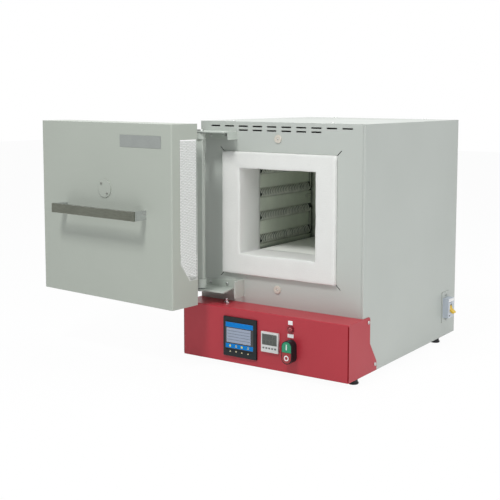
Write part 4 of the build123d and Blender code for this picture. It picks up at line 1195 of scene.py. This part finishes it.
piece("start_mark", "start_button", body_frame, white_plastic, draw_start_bar)
piece("stop_mark", "stop_button", body_frame, white_plastic, draw_stop_ring)
fixed("console_plates", white_plastic, draw_plates)
fixed("lamp_dome", red_lens, draw_lens, "lamp_lens")
print("Plates:", len(PLATES))

# %% [markdown]
# ## Fine parts of the door
# A bare silver plate lies in the upper right corner of the door. The cap over the sight hole
# is held by two small blued screws.

# %% Door plate and cap screws
door_low, door_high = local_box("door_shell", door_frame)
cap_low, cap_high = local_box("peephole_cap", door_frame)
SILVER_SIZE = (138.6, 29.0)
SILVER_RIGHT, SILVER_DROP = 33.4, 28.0
SILVER_THICK = 0.8
CAP_SCREWS = ((-10.0, 12.0), (10.0, -12.0))
CAP_SCREW_SEAT = 2.0
CAP_SCREW_SIZE = (3.1, 1.6)


def draw_door_plate(shape):
    right, top = door_high.x - SILVER_RIGHT, door_high.z - SILVER_DROP
    low = (right - SILVER_SIZE[0], door_low.y - SILVER_THICK, top - SILVER_SIZE[1])
    board(shape, low, (right, door_low.y, top))


def draw_cap_screws(shape):
    middle = (cap_low + cap_high) / 2
    for across, up in CAP_SCREWS:
        seat = (middle.x + across, cap_high.y - CAP_SCREW_SEAT, middle.z + up)
        screw_head(shape, seat, (0, -1, 0), *CAP_SCREW_SIZE)


piece("door_plate", "door", door_frame, plate_silver, draw_door_plate)
piece("cap_screw_heads", "door", door_frame, blued_steel, draw_cap_screws)
print("Door front at local y", round(door_low.y, 1))

# %% [markdown]
# ## The main switch
# The circuit breaker's front stands out of the side cover. Its top is a separate light
# terminal cover. Two small dark boards on its front are painted shade: one under the edge of
# the terminal cover, one at its lower left, where a gap lies in shade. A screw above it and
# one below hold its bezel.

# %% Breaker details
breaker_low, breaker_high = local_box("breaker_body", body_frame)
bezel_low, bezel_high = local_box("breaker_bezel", body_frame)
BREAKER_FACE = breaker_high.x
COVER_SUNK, COVER_PROUD = 6, 0.8
COVER_SIDES = 1.5
COVER_BOTTOM, COVER_TOP = 9, 1.0
MARK_THICK = 0.2
BREAKER_SCREW_SIZE = (3.75, 2.2)


def on_breaker(shape, left, right, low, high, sunk, proud, edge):
    """A board on the breaker's front, which faces along x."""
    board(shape, (BREAKER_FACE - sunk, left, low), (BREAKER_FACE + proud, right, high), edge)


def draw_breaker_trim(shape):
    on_breaker(
        shape, breaker_low.y + COVER_SIDES, breaker_high.y - COVER_SIDES,
        breaker_high.z - COVER_BOTTOM, breaker_high.z - COVER_TOP, COVER_SUNK, COVER_PROUD, 0.6,
    )


# Painted shade: a dark strip under the terminal cover and a dark patch at the lower left.
def draw_breaker_shade(shape):
    left = breaker_low.y + 4
    for right, low, high in (
        (breaker_low.y + 24, breaker_high.z - 11.5, breaker_high.z - 10),
        (breaker_low.y + 12, breaker_low.z + 4.5, breaker_low.z + 7.5),
    ):
        on_breaker(shape, left, right, low, high, 0, MARK_THICK, 0.05)


def draw_bezel_screws(shape):
    radius, height = BREAKER_SCREW_SIZE
    y = (breaker_low.y + breaker_high.y) / 2
    for z in ((bezel_low.z + breaker_low.z) / 2, (bezel_high.z + breaker_high.z) / 2):
        screw_head(shape, (bezel_high.x - height, y, z), (1, 0, 0), radius, height)


fixed("breaker_terminal_cover", white_plastic, draw_breaker_trim)
fixed("breaker_painted_shade", display_dark, draw_breaker_shade)
fixed("breaker_screws", zinc, draw_bezel_screws)
print("Breaker face at x", round(BREAKER_FACE, 1))

# %% [markdown]
# ## Console seam
# The console is folded from one sheet, and its end flaps meet the front in an open seam. A
# narrow bead of deeper red lies there as painted shade in the folded corner.

# %% Painted shade at the console's corners
BEAD = 1.7
BEAD_INSET = BEAD * 0.85
BEAD_STEPS = 8


def draw_shade_beads(shape):
    low, high = console_low.z + 3, console_high.z - 4
    levels = [low + (high - low) * step / BEAD_STEPS for step in range(BEAD_STEPS + 1)]
    for hand in (-1, 1):
        x = hand * (abs(console_high.x) - BEAD_INSET)
        wire(shape, [(x, console_low.y + BEAD_INSET, level) for level in levels], BEAD, 8)


fixed("console_corner_shade", corner_shade_red, draw_shade_beads)
print("Seam beads", 2 * BEAD, "mm thick")

# %% [markdown]
# ## At the back
# The mains lead leaves through a gland. A gland's nut is ribbed for the fingers: the solid
# model has its hexagon, and the clamping ring's ribs are added here.

# %% Ribs of the cable gland
gland_low, gland_high = local_box("cable_gland", body_frame)
gland_middle = (gland_low + gland_high) / 2
RIBS = 16
RIB_CIRCLE = 12.8
RIB_DEPTHS = (1.5, 3, 8, 14)
RIB_RADIUS = 0.9


def draw_ribs(shape):
    for rib in range(RIBS):
        angle = math.tau * rib / RIBS
        x = gland_middle.x + RIB_CIRCLE * math.cos(angle)
        z = gland_middle.z + RIB_CIRCLE * math.sin(angle)
        wire(shape, [(x, gland_high.y - depth, z) for depth in RIB_DEPTHS], RIB_RADIUS, 8)


fixed("gland_ribs", black_plastic, draw_ribs)
print("Gland ribs:", RIBS)

# %% [markdown]
# ## Stage and light
# The furnace stands on a plain white floor. Rays from the camera, mirrors and glass see most
# of the floor and all of the sky as pure white, while the object is lit by large soft lamps
# at a level where a colour comes out about as it was chosen.

# %% World
SKY_TINT = (0.93, 0.96, 1.0, 1)
SKY_LIGHT = 0.38
WHITE = (1, 1, 1, 1)


def seen_directly(tree):
    """1 for rays from the camera, from gloss and through glass, and 0 for the others."""
    paths = tree.nodes.new("ShaderNodeLightPath").outputs
    either = calculate(tree, "MAXIMUM", paths["Is Camera Ray"], paths["Is Glossy Ray"])
    return calculate(tree, "MAXIMUM", either, paths["Is Transmission Ray"])


world = bpy.data.worlds.new("studio")
bpy.context.scene.world = world
world.use_nodes = True
sky = world.node_tree
sky.nodes.clear()
seen = put(sky, "ShaderNodeBackground", Color=WHITE, Strength=1.0).outputs[0]
lit = put(sky, "ShaderNodeBackground", Color=SKY_TINT, Strength=SKY_LIGHT).outputs[0]
choice = join(sky, "ShaderNodeMixShader", seen_directly(sky), lit, seen)[0]
connect(sky, sky.nodes.new("ShaderNodeOutputWorld").inputs[0], choice)
print("World light", SKY_LIGHT)

# %% Floor
FLOOR_GREY = (0.86, 0.86, 0.86, 1)
FLOOR_SHARE = 0.96
FLOOR_HALF = 9.0
FLOOR_DROP = 0.0002

floor_material = bpy.data.materials.new("floor_white")
floor_material.use_nodes = True
tree = floor_material.node_tree
matt = tree.nodes["Principled BSDF"]
matt.inputs["Base Color"].default_value = FLOOR_GREY
matt.inputs["Roughness"].default_value = 0.9
matt.inputs["Specular IOR Level"].default_value = 0.1
white = put(tree, "ShaderNodeEmission", Color=WHITE, Strength=1.0).outputs[0]
share = times(tree, seen_directly(tree), FLOOR_SHARE)
mixed = join(tree, "ShaderNodeMixShader", share, matt.outputs[0], white)[0]
connect(tree, tree.nodes["Material Output"].inputs[0], mixed)

grid = bmesh.new()
bmesh.ops.create_grid(grid, x_segments=8, y_segments=8, size=FLOOR_HALF)
floor_mesh = bpy.data.meshes.new("floor")
grid.to_mesh(floor_mesh)
grid.free()
floor_mesh.materials.append(floor_material)
floor = show("floor", floor_mesh)
floor.location.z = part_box("feet")[0].z - FLOOR_DROP
print("Floor at z", round(floor.location.z, 4))

# %% Lamps
LAMPS = {
    "key": ((-100, -1550, 2500), (0.55, 0.55), 38),
    "overhead": ((250, 700, 2550), (2.2, 1.6), 28),
    "side_right": ((3400, -850, 1350), (1.8, 1.8), 38),
    "front_left": ((-1800, -2740, 1485), (1.6, 1.6), 1.5),
}

middle = (cad_box[0] + cad_box[1]) / 2
for name, (place, size, watts) in LAMPS.items():
    data = bpy.data.lights.new(name, "AREA")
    data.shape = "RECTANGLE"
    data.size, data.size_y = size
    data.energy = watts
    lamp = show(name, data)
    lamp.location = body_frame @ Vector(place)
    lamp.rotation_euler = (Vector(middle) - lamp.location).to_track_quat("-Z", "Y").to_euler()
print("Lamps:", len(bpy.data.lights))

# %% [markdown]
# ## Sizes
# The box of the solid model is printed. The dressed object has to stay inside the box of
# the solid model.

# %% Print the box of the solid model
print("CAD box", [[round(v, 4) for v in p] for p in cad_box])
